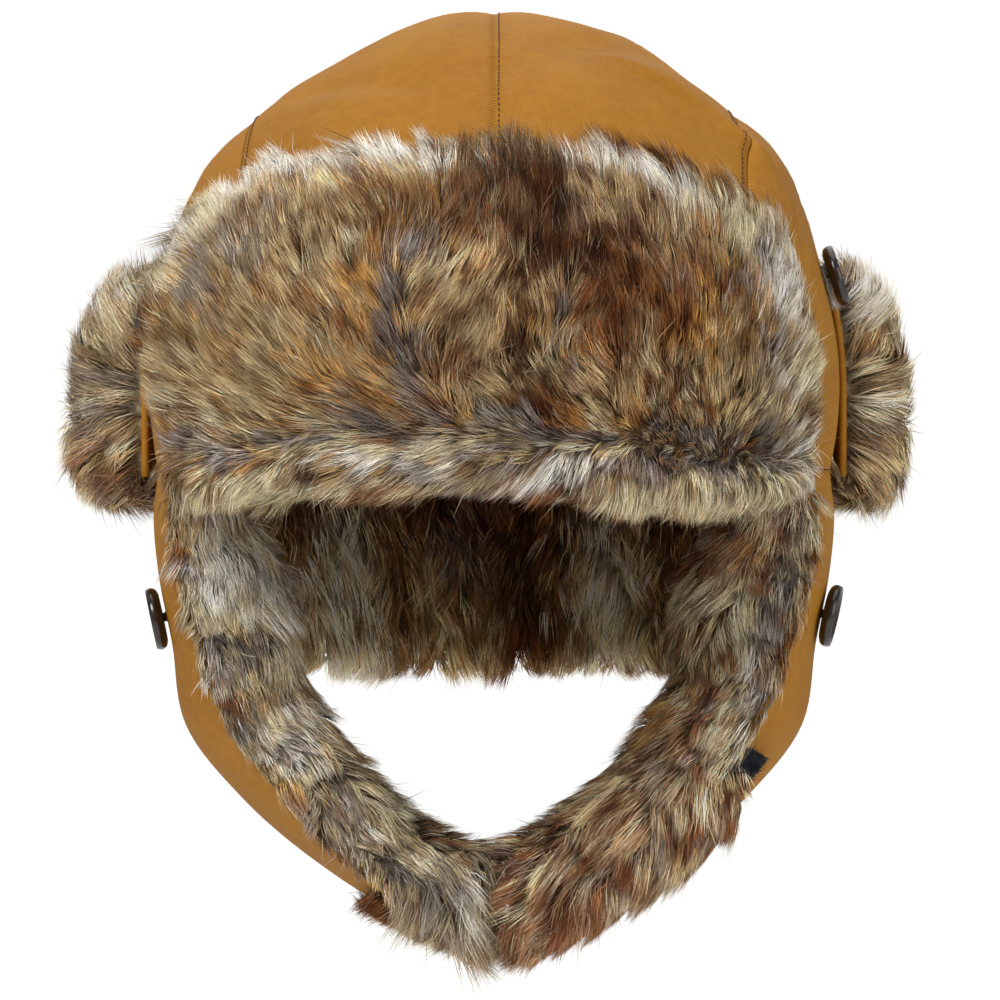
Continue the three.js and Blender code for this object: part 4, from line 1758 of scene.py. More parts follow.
@dataclass(frozen=True)
class Paper(Finish):
    """The pale matt paper of the studio, which looks evenly lit."""

    name: str = "studio_paper"
    light: str = "#fbfaf8"
    dark: str = "#f6f5f2"
    glow: float = 0.6

    def dress(self, graph: Graph, effects: Effects) -> dict[str, object]:
        """Adds the paper's faint cloud.

        Args:
            graph: The material's graph.
            effects: The shared node groups.

        Returns:
            Values or outputs for the surface shader's inputs, by name.
        """
        cloud = effects.use(graph, effects.mottle, Vector=graph.solid(), Scale=1.5, Grain=0.1)["Value"]
        seen = graph.add("LightPath").outputs["Is Camera Ray"]
        return {
            "Base Color": graph.mix(cloud, rgba(self.dark), rgba(self.light)), "Roughness": 0.95,
            "Specular IOR Level": 0.1, "Emission Color": (1.0, 1.0, 1.0, 1.0),
            "Emission Strength": graph.math("MULTIPLY", seen, self.glow),
        }


class Wardrobe:
    """Every material of the scene."""

    def __init__(self) -> None:
        """Makes the materials."""
        effects = Effects()
        self.shell = ShellFabric().make(effects)
        self.hair = HairFinish().make(effects)
        self.underfur = UnderfurFinish().make(effects)
        self.horn = Horn().make(effects)
        self.paper = Paper().make(effects)
        thread = Fibres("sewing_thread", "#6b3f1d", "#2e180c", 2600.0, 3.0, 2.4, -0.7, 0.6, 0.0001, 0.75)
        cord = Fibres("elastic_cord", "#e3dfd8", "#a8a29a", 2000.0, 5.0, 2.0, -0.5, 0.8, 0.0003, 0.9, 0.4)
        tape = Fibres("hook_tape", "#1b2030", "#080a10", 1500.0, 4.0, 2.2, -0.6, 0.9, 0.0004, 0.7)
        self.thread, self.cord, self.hook = (finish.make(effects) for finish in (thread, cord, tape))


# Sub-assemblies
# A direction along which no tube runs.
TUBE_GUIDE = np.array([0.31, 0.17, 0.93])


def tube(path: Array, radius: Array | float, sides: int, closed: bool = False) -> tuple[Array, Array]:
    """A round tube along a path.

    Args:
        path: The points of its middle line.
        radius: Its radius, or one for each point.
        sides: The number of its sides.
        closed: Whether its end meets its start.

    Returns:
        The points and the four-cornered faces, without end caps.
    """
    count = len(path)
    forward = np.roll(path, -1, axis=0) - np.roll(path, 1, axis=0) if closed else np.gradient(path, axis=0)
    forward = unit(forward)
    aside = unit(np.cross(forward, TUBE_GUIDE))
    up = np.cross(aside, forward)
    turn = np.linspace(0, 2 * math.pi, sides, endpoint=False)
    ring = aside[:, None, :] * np.cos(turn)[None, :, None] + up[:, None, :] * np.sin(turn)[None, :, None]
    sizes = np.broadcast_to(np.asarray(radius, dtype=float), (count,))
    points = path[:, None, :] + ring * sizes[:, None, None]
    quads = grid_faces(count, sides, wrap_columns=True)
    if closed:
        j = np.arange(sides)
        last, nxt = (count - 1) * sides, (j + 1) % sides
        quads = np.concatenate([quads, np.stack([last + j, j, nxt, last + nxt], axis=1)])
    return points.reshape(-1, 3), quads


@dataclass
class Parts:
    """Small meshes joined into one piece."""

    points: list[Array] = field(default_factory=list)
    faces: Faces = field(default_factory=Faces)
    total: int = 0

    def add(self, points: Array, quads: Array) -> None:
        """Adds a mesh of points and faces of four corners.

        Args:
            points: The points.
            quads: The corners of each face.
        """
        self.points.append(points)
        self.faces.add(quads + self.total)
        self.total += len(points)

    def add_hair(self, root: Array, way: Array, length: float, bend: Array, taper: Array) -> None:
        """Adds a bent three-sided hair.

        Args:
            root: Where it begins.
            way: Its direction there.
            length: Its length.
            bend: How far its end is bent aside.
            taper: Its radius at four points along it.
        """
        steps = np.linspace(0, 1, 4)[:, None]
        self.add(*tube(root + way * steps * length + bend * steps**2, taper, 3))

    def build(self, name: str, slot: Slot, material: Material, *nodes: str) -> Object:
        """The joined piece, with its material, and with the parts of the nodes that it stands for hidden."""
        made = make_object(name, to_world(np.concatenate(self.points)), self.faces)
        return dressed(made, slot, material, *nodes)


@dataclass
class Stitching:
    """A row of topstitches at one v on a surface, from a first u to a last one."""

    surface: Surface
    v: float
    start: float = 0.1
    stop: float = 0.9
    pitch: float = 2.3
    radius: float = 0.2
    share: float = 0.72
    lift: float = 1.05

    def stitches(self, parts: Parts) -> None:
        """Adds the stitches to a joined piece.

        Args:
            parts: The joined piece.
        """
        u = np.linspace(self.start, self.stop, 1200)
        line, normal, _ = self.surface.outward(u, np.full_like(u, self.v))
        line = line + normal * self.lift
        run = travelled(line)
        shape = np.array([0.35, 1.0, 1.0, 0.35])
        for begin in np.arange(0.0, run[-1] - self.pitch, self.pitch):
            places = begin + self.pitch * self.share * np.array([0.0, 0.25, 0.75, 1.0])
            path, out = (
                np.stack([np.interp(places, run, axis) for axis in values.T], axis=1)
                for values in (line, normal)
            )
            path = path + out * np.array([-0.22, 0.06, 0.06, -0.22])[:, None]
            parts.add(*tube(path, self.radius * shape, 5))


@dataclass
class Crown:
    """The four panels of the crown, with their seams and topstitching."""

    seam_offset: float = 1.4
    edge: float = 0.2

    def build(self, wardrobe: Wardrobe) -> list[Object]:
        """The panels and their stitching.

        Args:
            wardrobe: The materials.

        Returns:
            The pieces.
        """
        made, stitches = [], Parts()
        offset = self.seam_offset / (RELIEF.seam_x - RELIEF.gap)
        held = ("front_flap_backing", "cuff_backing")
        for side in Side:
            top, wall = TopPanel(side), SidePanel(side)
            for part, surface, along, across in (("center", top, 110, 28), ("side", wall, 66, 26)):
                name = f"crown_{part}_{side.word}"
                sheet = ClothSheet(name, surface, along, across, edge=self.edge, rests_on=held)
                made.append(sheet.build(wardrobe.shell))
            Stitching(top, 1 - offset).stitches(stitches)
        Stitching(TopPanel(Side.RIGHT), offset).stitches(stitches)
        made.append(stitches.build("crown_topstitching", Slot.THREAD, wardrobe.thread))
        return made


# Brush strokes and patches of the fur as the picture shows them, in its pixels.
FRONT_COMBS = (
    (215, 195, 128, 26), (180, 215, 140, 22), (180, 250, 145, 26), (172, 310, 156, 26), (176, 370, 160, 26),
    (230, 330, 128, 34), (200, 425, 158, 26), (290, 240, 116, 45), (300, 330, 122, 34), (260, 420, 152, 26),
    (330, 415, 150, 26), (350, 200, 112, 45), (358, 300, 119, 30), (375, 360, 126, 25), (420, 275, 60, 22),
    (430, 315, 52, 24), (450, 350, 46, 24), (470, 250, 80, 30), (490, 320, 68, 26), (460, 400, 95, 22),
    (410, 425, 144, 28), (510, 190, 95, 45), (535, 250, 97, 28), (538, 320, 108, 22), (580, 330, 58, 22),
    (590, 285, 78, 24), (500, 425, 132, 26), (570, 410, 128, 26), (620, 230, 100, 45), (640, 320, 112, 45),
    (640, 400, 118, 45), (700, 200, 108, 45), (710, 330, 104, 45), (640, 430, 150, 20), (700, 420, 122, 28),
    (760, 280, 92, 30), (800, 300, 64, 28), (806, 400, 52, 26), (760, 420, 80, 28),
)
ROLL_COMBS = (
    (145, 470, 215, 25), (175, 500, 252, 28), (240, 500, 240, 36), (300, 480, 226, 36), (360, 480, 211, 36),
    (420, 480, 208, 36), (480, 490, 216, 36), (540, 480, 222, 36), (590, 490, 238, 30), (640, 490, 262, 30),
    (700, 490, 268, 36), (760, 490, 262, 30), (800, 480, 296, 22), (824, 460, 335, 20),
)
FRONT_PATCHES = patchwork(
    (508, 176, 46, 44, 0, ESPRESSO, 18), (545, 205, 24, 62, -24, ESPRESSO, 24),
    (578, 236, 26, 30, 0, ESPRESSO, 15), (540, 150, 14, 30, -20, ESPRESSO, 18),
    (524, 330, 16, 76, 0, ESPRESSO, 14), (478, 330, 60, 62, 0, TICKED, 9), (470, 260, 46, 46, 0, TICKED, 7),
    (470, 205, 40, 34, 0, CHESTNUT, 7), (395, 205, 44, 36, 0, UMBER, 6),
    (640, 300, 66, 60, 0, CHESTNUT, 14), (600, 262, 30, 34, -30, ESPRESSO, 12),
    (620, 200, 42, 34, -20, TICKED, 8), (650, 246, 40, 30, 0, CHESTNUT, 8),
    (610, 372, 70, 26, 0, TICKED, 7), (575, 300, 20, 60, 0, CHESTNUT, 6), (500, 386, 70, 16, 0, TICKED, 6),
    (556, 398, 26, 30, -30, CHESTNUT, 9), (420, 126, 90, 9, 4, CHESTNUT, 30),
    (590, 128, 30, 10, 0, CHESTNUT, 30), (645, 142, 34, 9, -24, CHESTNUT, 24),
    (690, 166, 26, 7, -24, GOLDEN, 16), (330, 352, 54, 46, 24, GOLDEN, 7), (340, 300, 34, 36, 0, GOLDEN, 6),
    (370, 150, 64, 13, 2, PALE, 14), (290, 160, 40, 15, 18, PALE, 16), (226, 186, 40, 13, 26, PALE, 16),
    (204, 206, 34, 14, 35, CREAM, 16), (420, 500, 60, 8, 0, TIPPED, 20), (600, 512, 90, 7, 0, TIPPED, 20),
    (166, 238, 30, 14, 45, PALE, 16), (140, 280, 22, 20, 0, CREAM, 10), (440, 152, 34, 12, -4, PALE, 9),
    (600, 152, 40, 9, -12, PALE, 15), (664, 180, 36, 11, -28, PALE, 14), (732, 222, 40, 22, -36, CREAM, 11),
    (782, 270, 18, 46, 0, PALE, 9), (790, 340, 14, 50, 0, PALE, 7), (728, 300, 34, 44, 0, GOLDEN, 6),
    (744, 372, 38, 34, 0, OLIVE, 8), (754, 262, 10, 30, -30, GREY, 10), (776, 344, 7, 36, 0, GREY, 14),
    (812, 390, 12, 40, 0, CREAM, 10), (250, 290, 50, 76, 0, OLIVE, 9), (230, 366, 66, 34, 0, OLIVE, 9),
    (300, 226, 46, 34, 0, OLIVE, 7), (258, 236, 12, 30, -24, GREY, 14), (210, 244, 26, 12, 38, GREY, 16),
    (196, 290, 12, 26, 20, GREY, 14), (170, 330, 14, 24, 20, UMBER, 8), (388, 302, 10, 44, -12, GREY, 34),
    (410, 350, 24, 14, -35, GREY, 26), (424, 246, 10, 20, -25, GREY, 22), (404, 376, 10, 18, 0, GREY, 16),
    # The grey patches along the parting, at rows 416 to 484, are partly the hair's grey and partly painted
    # shade in the groove above the roll.
    (557, 320, 7, 26, 0, GREY, 22), (574, 366, 8, 14, -20, GREY, 18), (200, 440, 40, 9, -14, GREY, 26),
    (290, 434, 46, 7, -4, GREY, 26), (370, 426, 40, 8, -16, GREY, 22), (436, 420, 30, 9, -20, GREY, 18),
    (510, 416, 34, 12, -14, GREY, 24), (480, 446, 60, 8, 0, GREY, 18), (600, 430, 60, 7, -4, GREY, 20),
    (690, 432, 60, 9, 0, GREY, 26), (680, 454, 60, 5, 0, GREY, 10), (778, 440, 26, 16, 0, GREY, 20),
    (660, 472, 60, 11, 0, GREY, 26), (210, 460, 34, 10, 0, GREY, 16), (570, 445, 90, 5, -3, CREAM, 12),
    (340, 452, 50, 5, -12, CREAM, 14), (370, 470, 44, 7, -6, PALE, 14), (250, 494, 64, 13, 0, CREAM, 18),
    (300, 474, 30, 8, 0, UMBER, 10), (420, 484, 60, 10, 0, GREY, 12), (480, 474, 50, 10, 0, GREY, 10),
    (560, 480, 44, 10, 16, PALE, 14), (440, 508, 70, 9, 0, CHESTNUT, 18),
    (540, 502, 44, 10, 0, CHESTNUT, 16), (680, 500, 70, 11, 0, CREAM, 20), (650, 514, 60, 6, 0, TIPPED, 18),
    (770, 490, 20, 18, 0, CREAM, 12), (800, 470, 26, 26, 0, PALE, 8), (160, 476, 22, 26, 0, UMBER, 8),
)
PARTING_LINE = (
    (150, 456), (230, 446), (330, 438), (400, 447), (450, 440), (530, 433), (620, 449), (700, 458),
    (780, 462), (840, 458),
)


def parting_row(column: Array) -> Array:
    """The picture's row at which the front fur parts, a ragged line.

    Args:
        column: The picture's columns.

    Returns:
        One row for each column.
    """
    line = np.array(PARTING_LINE, dtype=float)
    ragged = 16.0 * (value_noise(column, 0.0 * column, 30.0, 15) - 0.5)
    return np.interp(column, line[:, 0], line[:, 1]) + ragged


def furred(node: str, underfur: Underfur, furs: Sequence[Fur], wardrobe: Wardrobe) -> list[Object]:
    """An undercoat and the furs over it, which together stand for one node.

    Args:
        node: The node.
        underfur: The undercoat.
        furs: The furs.
        wardrobe: The materials.

    Returns:
        The pieces.
    """
    made = [underfur.build(wardrobe.underfur)] + [fur.build(wardrobe.hair) for fur in furs]
    for piece in made:
        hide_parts(node)
    return made


@dataclass
class FrontFlap:
    """The turned-up front flap: its backing, the fur brushed up over it and the roll along its fold.

    Attributes:
        groove_height: How high above the cloth the fur parts.
        roll_reach: How far the roll hangs below the fold, at places along it.
    """

    surface: FrontFlapSurface = field(default_factory=FrontFlapSurface)
    groove_height: float = 16.0
    rows: tuple[BedRow, ...] = (
        (0.0, -1, 2), (0.0, -2.5, 5), (0.0, -3, 9), (0.0, -1.5, 13.5), (0.01, 1, 16.5), (0.05, 0, 17),
        (PARTING_V, 0, 15.2), (0.16, 0, 16), (0.26, 0, 17), (0.42, 0, 17.5), (0.62, 0, 15.5), (0.8, 0, 12.5),
        (0.93, 0, 9), (1.0, 0, 5), (1.0, 2, 2.2),
    )
    roll_reach: tuple[tuple[float, float], ...] = (
        (0.0, 0.7), (0.1, 1.1), (0.22, 1.35), (0.32, 0.5), (0.44, 0.2), (0.5, 0.7), (0.58, 0.4), (0.68, 1.5),
        (0.82, 1.2), (1.0, 0.5),
    )
    style: FurStyle = FurStyle(
        46000, 11.8, 0.2, 50.0, settle=0.33, lock=9.0, lock_pull=0.3, clump=2.3, clump_pull=0.5, stray=0.05,
        spread_deg=11.0,
    )

    def build(self, wardrobe: Wardrobe) -> list[Object]:
        """The backing and the furs.

        Args:
            wardrobe: The materials.

        Returns:
            The pieces.
        """
        held = ("crown_center_left", "crown_center_right")
        backing = ClothSheet("front_flap_backing", self.surface, 60, 14, held="folded", rests_on=held)
        curves = {"reach": self._reach, "ripple": self._ripple}
        plan = BedPlan(self.surface, self.rows, 1, 150, 76, end_reach=30.0, first=0.015, last=0.99, **curves)
        bed = plan.lay()
        base = ((OLIVE, 1.0), (GOLDEN, 0.9), (CREAM, 0.5), (CHESTNUT, 0.7))
        colours = Colouring(base, FRONT_PATCHES, mottle=7.0, fleck=3.6, seed=3, gain=1.1)
        underfur = Underfur("front_undercoat", [bed], colours, 31)
        furs = [self._fur(bed, side, colours) for side in Side]
        return [backing.build(wardrobe.shell)] + furred("front_flap_fur", underfur, furs, wardrobe)

    def _reach(self, u: Array) -> Array:
        """How far the roll hangs below the fold at each u."""
        table = np.array(self.roll_reach)
        return np.interp(u, table[:, 0], table[:, 1])

    def _ripple(self, u: Array) -> Array:
        """How far the groove is moved at each u so that it follows the parting in the picture.

        Args:
            u: First coordinates.

        Returns:
            The shares of v by which it moves.
        """
        v = np.full_like(u, PARTING_V)
        column, row = VIEW.pixels(self.surface.lifted(u, v, self.groove_height))
        _, top_row = VIEW.pixels(self.surface.lifted(u, v + PARTING_V, self.groove_height))
        return PARTING_V * (row - parting_row(column)) / (row - top_row)

    def _fur(self, bed: FurBed, side: Side, colours: Colouring) -> Fur:
        """The hair on one half of the flap.

        Args:
            bed: The bed of the whole flap.
            side: The half.
            colours: How the hair is coloured.

        Returns:
            The fur.
        """
        upward, downward = combed(FRONT_COMBS), combed(ROLL_COMBS)
        level = np.where(bed.across > bed.across[np.argmax(bed.v > 0.02)], bed.v, -1.0)
        groove = bed.across[np.argmin(np.abs(level - PARTING_V))]
        middle, end = bed.along[-1] / 2, bed.along[-1]

        def flow(roots: Roots) -> Array:
            """Upwards above the parting, and downwards below it.

            Args:
                roots: Where the hair grows.

            Returns:
                The directions.
            """
            column, row = VIEW.pixels(roots.point)
            below = smoothstep(row - parting_row(column), -15.0, 13.0)[:, None]
            return lerp(unit(upward(roots)), unit(downward(roots)), below)

        def density(along: Array, across: Array) -> Array:
            """Hair on this half alone, densest along the roll."""
            own = (along < middle) if side is Side.LEFT else (along >= middle)
            return own * (1.0 + 0.5 * bump(across, groove - 8.0, 10.0))

        def length(along: Array, across: Array) -> Array:
            """Shorter at the ends and the groove, longer at the crest and the two swept tufts.

            Args:
                along: Distances along the bed.
                across: Distances round it.

            Returns:
                Shares of the style's length.
            """
            near_end = smoothstep(np.minimum(along, end - along), 0.0, 26.0)
            roll = smoothstep(across, groove - 2.0, groove + 8.0)
            sweep = bump(along, 0.0, 28.0) * bump(across, groove + 62.0, 34.0)
            uneven = value_noise(along, along * 0.0, 6.0, 12) - 0.2
            crest = 0.85 * bump(across, bed.across[-1], 11.0) * (uneven + 0.25)
            tall = lerp(0.62, 1.0, near_end) * lerp(0.95, 1.0, roll) * (1 - 0.12 * bump(across, groove, 3.5))
            end_tuft = bump(along, 0.0, 22.0) * bump(across, groove + 36.0, 18.0)
            return tall + 0.6 * sweep + 0.5 * end_tuft + crest

        name = f"front_fur_{side.word}"
        return Fur(name, bed, self.style, flow, colours, 32, 34 + side.value, density=density, length=length)


@dataclass
class EarFlap:
    """An ear flap with its lining of fur.

    Attributes:
        tip: The sections at its tip.
        bulk: How much the fur swells at the ear.
        chin: How much it swells at the chin.
        hang_from: The section from which the fur hangs over the front edge.
        hang_z: The depth from which it hangs.
        turn_down: How far the hair at the tip turns down instead of along the flap.
        fan_x: Where the hair at the tip hangs straight down.
        lean: How far the hanging hair leans to the right.
        droop: How strongly it hangs.
        overhang: How much longer it is where it hangs.
        tip_drop: How much longer still it is near the tip.
        spill: How much further the fur reaches past the front edge half-way along.
        fur_end: The section at which the fur ends.
        gain: How much lighter the fur is; on the right flap it is painted light for the key light that falls
            on it less.
        tuft: Whether hair hangs over the edge of its tip, below the other flap's.
    """

    side: Side
    tip: tuple[FlapSection, ...]
    base: Mix
    patches: tuple[ColourPatch, ...]
    bulk: float
    chin: float
    hang_from: float
    hang_z: float
    turn_down: float
    fan_x: float
    fur_end: float
    gain: float
    lean: float = -0.1
    droop: float = 1.8
    overhang: float = 0.3
    tip_drop: float = 0.0
    spill: float = 0.0
    tuft: bool = False
    rows: tuple[BedRow, ...] = (
        (0.46, 0.0, -1.0), (0.34, 0.0, -1.8), (0.18, 0.0, -2.4), (0.04, 0.0, -2.6), (0.0, -1.8, -1.4),
        (0.0, -3.8, 2.0), (0.0, -5.5, 7.0), (0.0, -5.0, 14.0), (0.02, -1.0, 18.8), (0.13, 0.0, 20.3),
        (0.36, 0.0, 19.3), (0.66, 0.0, 16.8), (0.9, 0.0, 11.5), (0.97, 0.0, 8.0), (0.97, 0.0, 3.2),
    )
    style: FurStyle = FurStyle(
        43000, 12.8, 0.21, 48.0, lock=10.0, lock_pull=0.4, clump=2.8, clump_pull=0.5, tousle_deg=26.0,
        spread_deg=11.0, stray=0.05,
    )

    def build(self, wardrobe: Wardrobe) -> list[Object]:
        """The cloth and the furs.

        Args:
            wardrobe: The materials.

        Returns:
            The pieces.
        """
        word, sections = self.side.word, FLAP_SECTIONS + self.tip
        cloth = EarFlapSurface(self.side, sections, RIM_SECTION, len(sections) - 1)
        sheet = ClothSheet(f"ear_flap_{word}", cloth, 80, 18, held="hung", rests_on=("crown_side_" + word,))
        lining = EarFlapSurface(self.side, sections, 0.0, self.fur_end)
        curves = {"swell": self._swell, "reach": self._reach, "wrap": self._wrap}
        bed = BedPlan(lining, self.rows, -1, 120, 52, end_reach=7.0, **curves).lay()
        colours = Colouring(self.base, self.patches, mottle=9.0, seed=50 + self.side.value, gain=self.gain)
        furs = [self._fur(bed, colours)] + ([self._tuft(sections)] if self.tuft else [])
        underfur = Underfur(f"ear_undercoat_{word}", [bed], colours, 51)
        return [sheet.build(wardrobe.shell)] + furred(f"ear_fur_{word}", underfur, furs, wardrobe)

    def _fur(self, bed: FurBed, colours: Colouring) -> Fur:
        """The hair of the lining.

        Args:
            bed: The lining's bed.
            colours: How the hair is coloured.

        Returns:
            The fur.
        """
        edge_at = float(bed.across[np.argmin(bed.v)])

        def density(along: Array, across: Array) -> Array:
            """Less hair towards the hidden back edge."""
            return lerp(1.0, 0.3, smoothstep(across, edge_at + 35.0, edge_at + 60.0)) + 0.0 * along

        def length(along: Array, across: Array) -> Array:
            """Longer and ragged where it hangs over the front edge, and shorter at the tip.

            Args:
                along: Distances along the bed.
                across: Distances round it.

            Returns:
                Shares of the style's length.
            """
            hang = self._wrap(np.interp(along, bed.along, bed.u))
            edge = 1.0 - smoothstep(across, edge_at + 6.0, edge_at + 20.0)
            left = bed.along[-1] - along
            tip = lerp(0.85, 1.0, smoothstep(left, 0.0, 16.0)) + self.tip_drop * edge * bump(left, 16.0, 11.0)
            ragged = 0.7 * (value_noise(along, 0.0 * along, 5.0, 17) - 0.5)
            return tip * (1.0 + edge * (lerp(-0.35, self.overhang, hang) + ragged))

        name, seeds = f"ear_fur_strands_{self.side.word}", (60 + self.side.value, 65 + self.side.value)
        return Fur(name, bed, self.style, self._flow, colours, *seeds, density=density, length=length)

    def _tuft(self, sections: tuple[FlapSection, ...]) -> Fur:
        """The hair that hangs over the edge of the tip.

        Args:
            sections: The flap's sections.

        Returns:
            The fur.
        """
        lining = EarFlapSurface(self.side, sections, self.fur_end + 0.1, len(sections) - 1.05)
        bed = BedPlan(lining, self.rows[:7], -1, 30, 24, end_reach=4.0).lay()
        patches = patchwork((372, 905, 26, 18, 0, CHESTNUT, 8), (404, 922, 16, 16, 0, CREAM, 9))
        base = ((UMBER, 1.0), (CHESTNUT, 0.8), (CREAM, 0.6))
        style = FurStyle(7000, 10.0, 0.21, 26.0, clump=2.4, clump_pull=0.4)
        colours = Colouring(base, patches, seed=57, gain=1.6)
        return Fur("chin_tuft_strands", bed, style, self._flow, colours, 58, 59)

    def _swell(self, u: Array) -> Array:
        """How much taller the fur is at each u."""
        section = u * self.fur_end
        return lerp(1.0, self.chin, smoothstep(section, 2.0, 7.0)) + self.bulk * bump(section, 4.0, 2.0)

    def _reach(self, u: Array) -> Array:
        """How much further the fur reaches past the front edge at each u."""
        return 1.0 + 0.3 * self._wrap(u) + self.spill * bump(u * self.fur_end, 6.0, 1.6)

    def _wrap(self, u: Array) -> Array:
        """How far the fur is carried round the front edge at each u."""
        return smoothstep(u * self.fur_end, self.hang_from, self.hang_from + 0.9)

    def _flow(self, roots: Roots) -> Array:
        """Hair lies along the flap, and hangs down from its front edge near the chin.

        Args:
            roots: Where the hair grows.

        Returns:
            Its directions.
        """
        x, y, z = roots.point.T
        wander = 0.9 * (value_noise(z + 500, y + 500, 24.0, 77) - 0.5)
        near_tip = smoothstep(-x * self.side.value, -34.0, -10.0) * smoothstep(-z, 100.0, 122.0)
        keep = (1.0 - self.turn_down * near_tip)[:, None]
        lengthwise = keep * roots.along + (wander - 0.12)[:, None] * roots.across
        fore = np.maximum(smoothstep(-y, 34.0, 50.0), smoothstep(-roots.normal[:, 2], -0.1, 0.3))
        hang = smoothstep(-z, self.hang_z, self.hang_z + 16.0) * np.maximum(fore, self.turn_down * near_tip)
        fan = np.clip((x - self.fan_x) / 34.0, -0.8, 0.8) * smoothstep(-z, 108.0, 124.0)
        down = np.stack([fan + self.lean, np.full_like(x, -0.05), np.full_like(x, -1.0)], axis=1)
        return lengthwise + self.droop * hang[:, None] * down


NECK_PATCHES = patchwork(
    # The first patch, a wide band of espresso hair across the top of the lining, is painted shade where the
    # crown shades the lining.
    (480, 520, 240, 34, 0, ESPRESSO, 16.2), (345, 600, 34, 80, 0, CREAM, 16.2),
    (320, 640, 20, 40, 0, OLIVE, 12.6), (398, 590, 22, 70, 0, UMBER, 10.8),
    (446, 610, 32, 50, 0, OLIVE, 14.4), (460, 560, 26, 40, 0, GREY, 9.0),
    (512, 600, 30, 90, 0, ESPRESSO, 16.2), (556, 600, 20, 80, 0, UMBER, 10.8),
    (604, 600, 34, 70, 0, CREAM, 16.2), (640, 640, 24, 40, 0, OLIVE, 12.6),
    (672, 600, 14, 80, 0, ESPRESSO, 12.6),
)


@dataclass
class NeckGuard:
    """The back of the skirt with its lining of fur."""

    rows: tuple[BedRow, ...] = (
        (0.0, 0, 6), (0.05, 0, 14), (0.2, 0, 18), (0.5, 0, 18), (0.8, 0, 16), (0.93, 0, 13), (1.0, 2, 9),
        (1.0, 3.5, 4), (1.0, 3.0, 0.0),
    )
    style: FurStyle = FurStyle(21000, 15.0, 0.32, 34.0, tousle_deg=28.0, clump_pull=0.5)

    def build(self, wardrobe: Wardrobe) -> list[Object]:
        """The cloth and the fur.

        Args:
            wardrobe: The materials.

        Returns:
            The pieces.
        """
        cloth = NeckSurface(RIM_SECTION, NECK_SECTION)
        held = ("crown_center_left", "crown_center_right")
        sheet = ClothSheet("neck_guard", cloth, 60, 22, held="hung", rests_on=held)
        bed = BedPlan(NeckSurface(0.0, NECK_SECTION), self.rows, -1, 80, 36, end_reach=8.0).lay()
        base = ((UMBER, 1.0), (OLIVE, 0.8), (CHESTNUT, 0.8), (ESPRESSO, 0.4))
        # The neck lining is painted much lighter, a painted light for the shade that it lies in under the
        # crown.
        colours = Colouring(base, NECK_PATCHES, seed=70, depth=200.0, gain=1.9)
        edge = bed.across[-1]

        def density(along: Array, across: Array) -> Array:
            """More hair along the lower edge."""
            return 1.0 + 2.2 * smoothstep(across, edge - 22.0, edge - 4.0) + 0.0 * along

        fur = Fur("neck_fur_strands", bed, self.style, self._flow, colours, 71, 73, density=density)
        underfur = Underfur("neck_undercoat", [bed], colours, 72)
        return [sheet.build(wardrobe.shell)] + furred("neck_fur", underfur, [fur], wardrobe)

    def _flow(self, roots: Roots) -> Array:
        """Down to the edge, with a slow wander."""
        wander = 0.8 * (value_noise(roots.point[:, 2] + 500, roots.point[:, 1] + 500, 30.0, 77) - 0.5)
        return (1.0 + wander)[:, None] * roots.across


CUFF_PATCHES = patchwork(
    (105, 330, 44, 60, 0, OLIVE, 6.0), (95, 290, 50, 26, 20, PALE, 9.0), (150, 322, 16, 14, 0, CHESTNUT, 9.0),
    (84, 400, 34, 40, 0, GREY, 5.0), (100, 484, 70, 28, 0, CHESTNUT, 6.0), (126, 430, 20, 40, 0, UMBER, 6.0),
    (862, 284, 30, 22, 0, PALE, 10.0), (896, 300, 14, 24, -20, CREAM, 9.0),
    (860, 340, 34, 34, 0, TICKED, 6.0), (890, 400, 20, 22, 0, CREAM, 7.0), (858, 410, 26, 34, 0, UMBER, 5.0),
    (876, 470, 50, 24, 0, TICKED, 7.0), (846, 390, 10, 60, 0, CHESTNUT, 7.0),
)


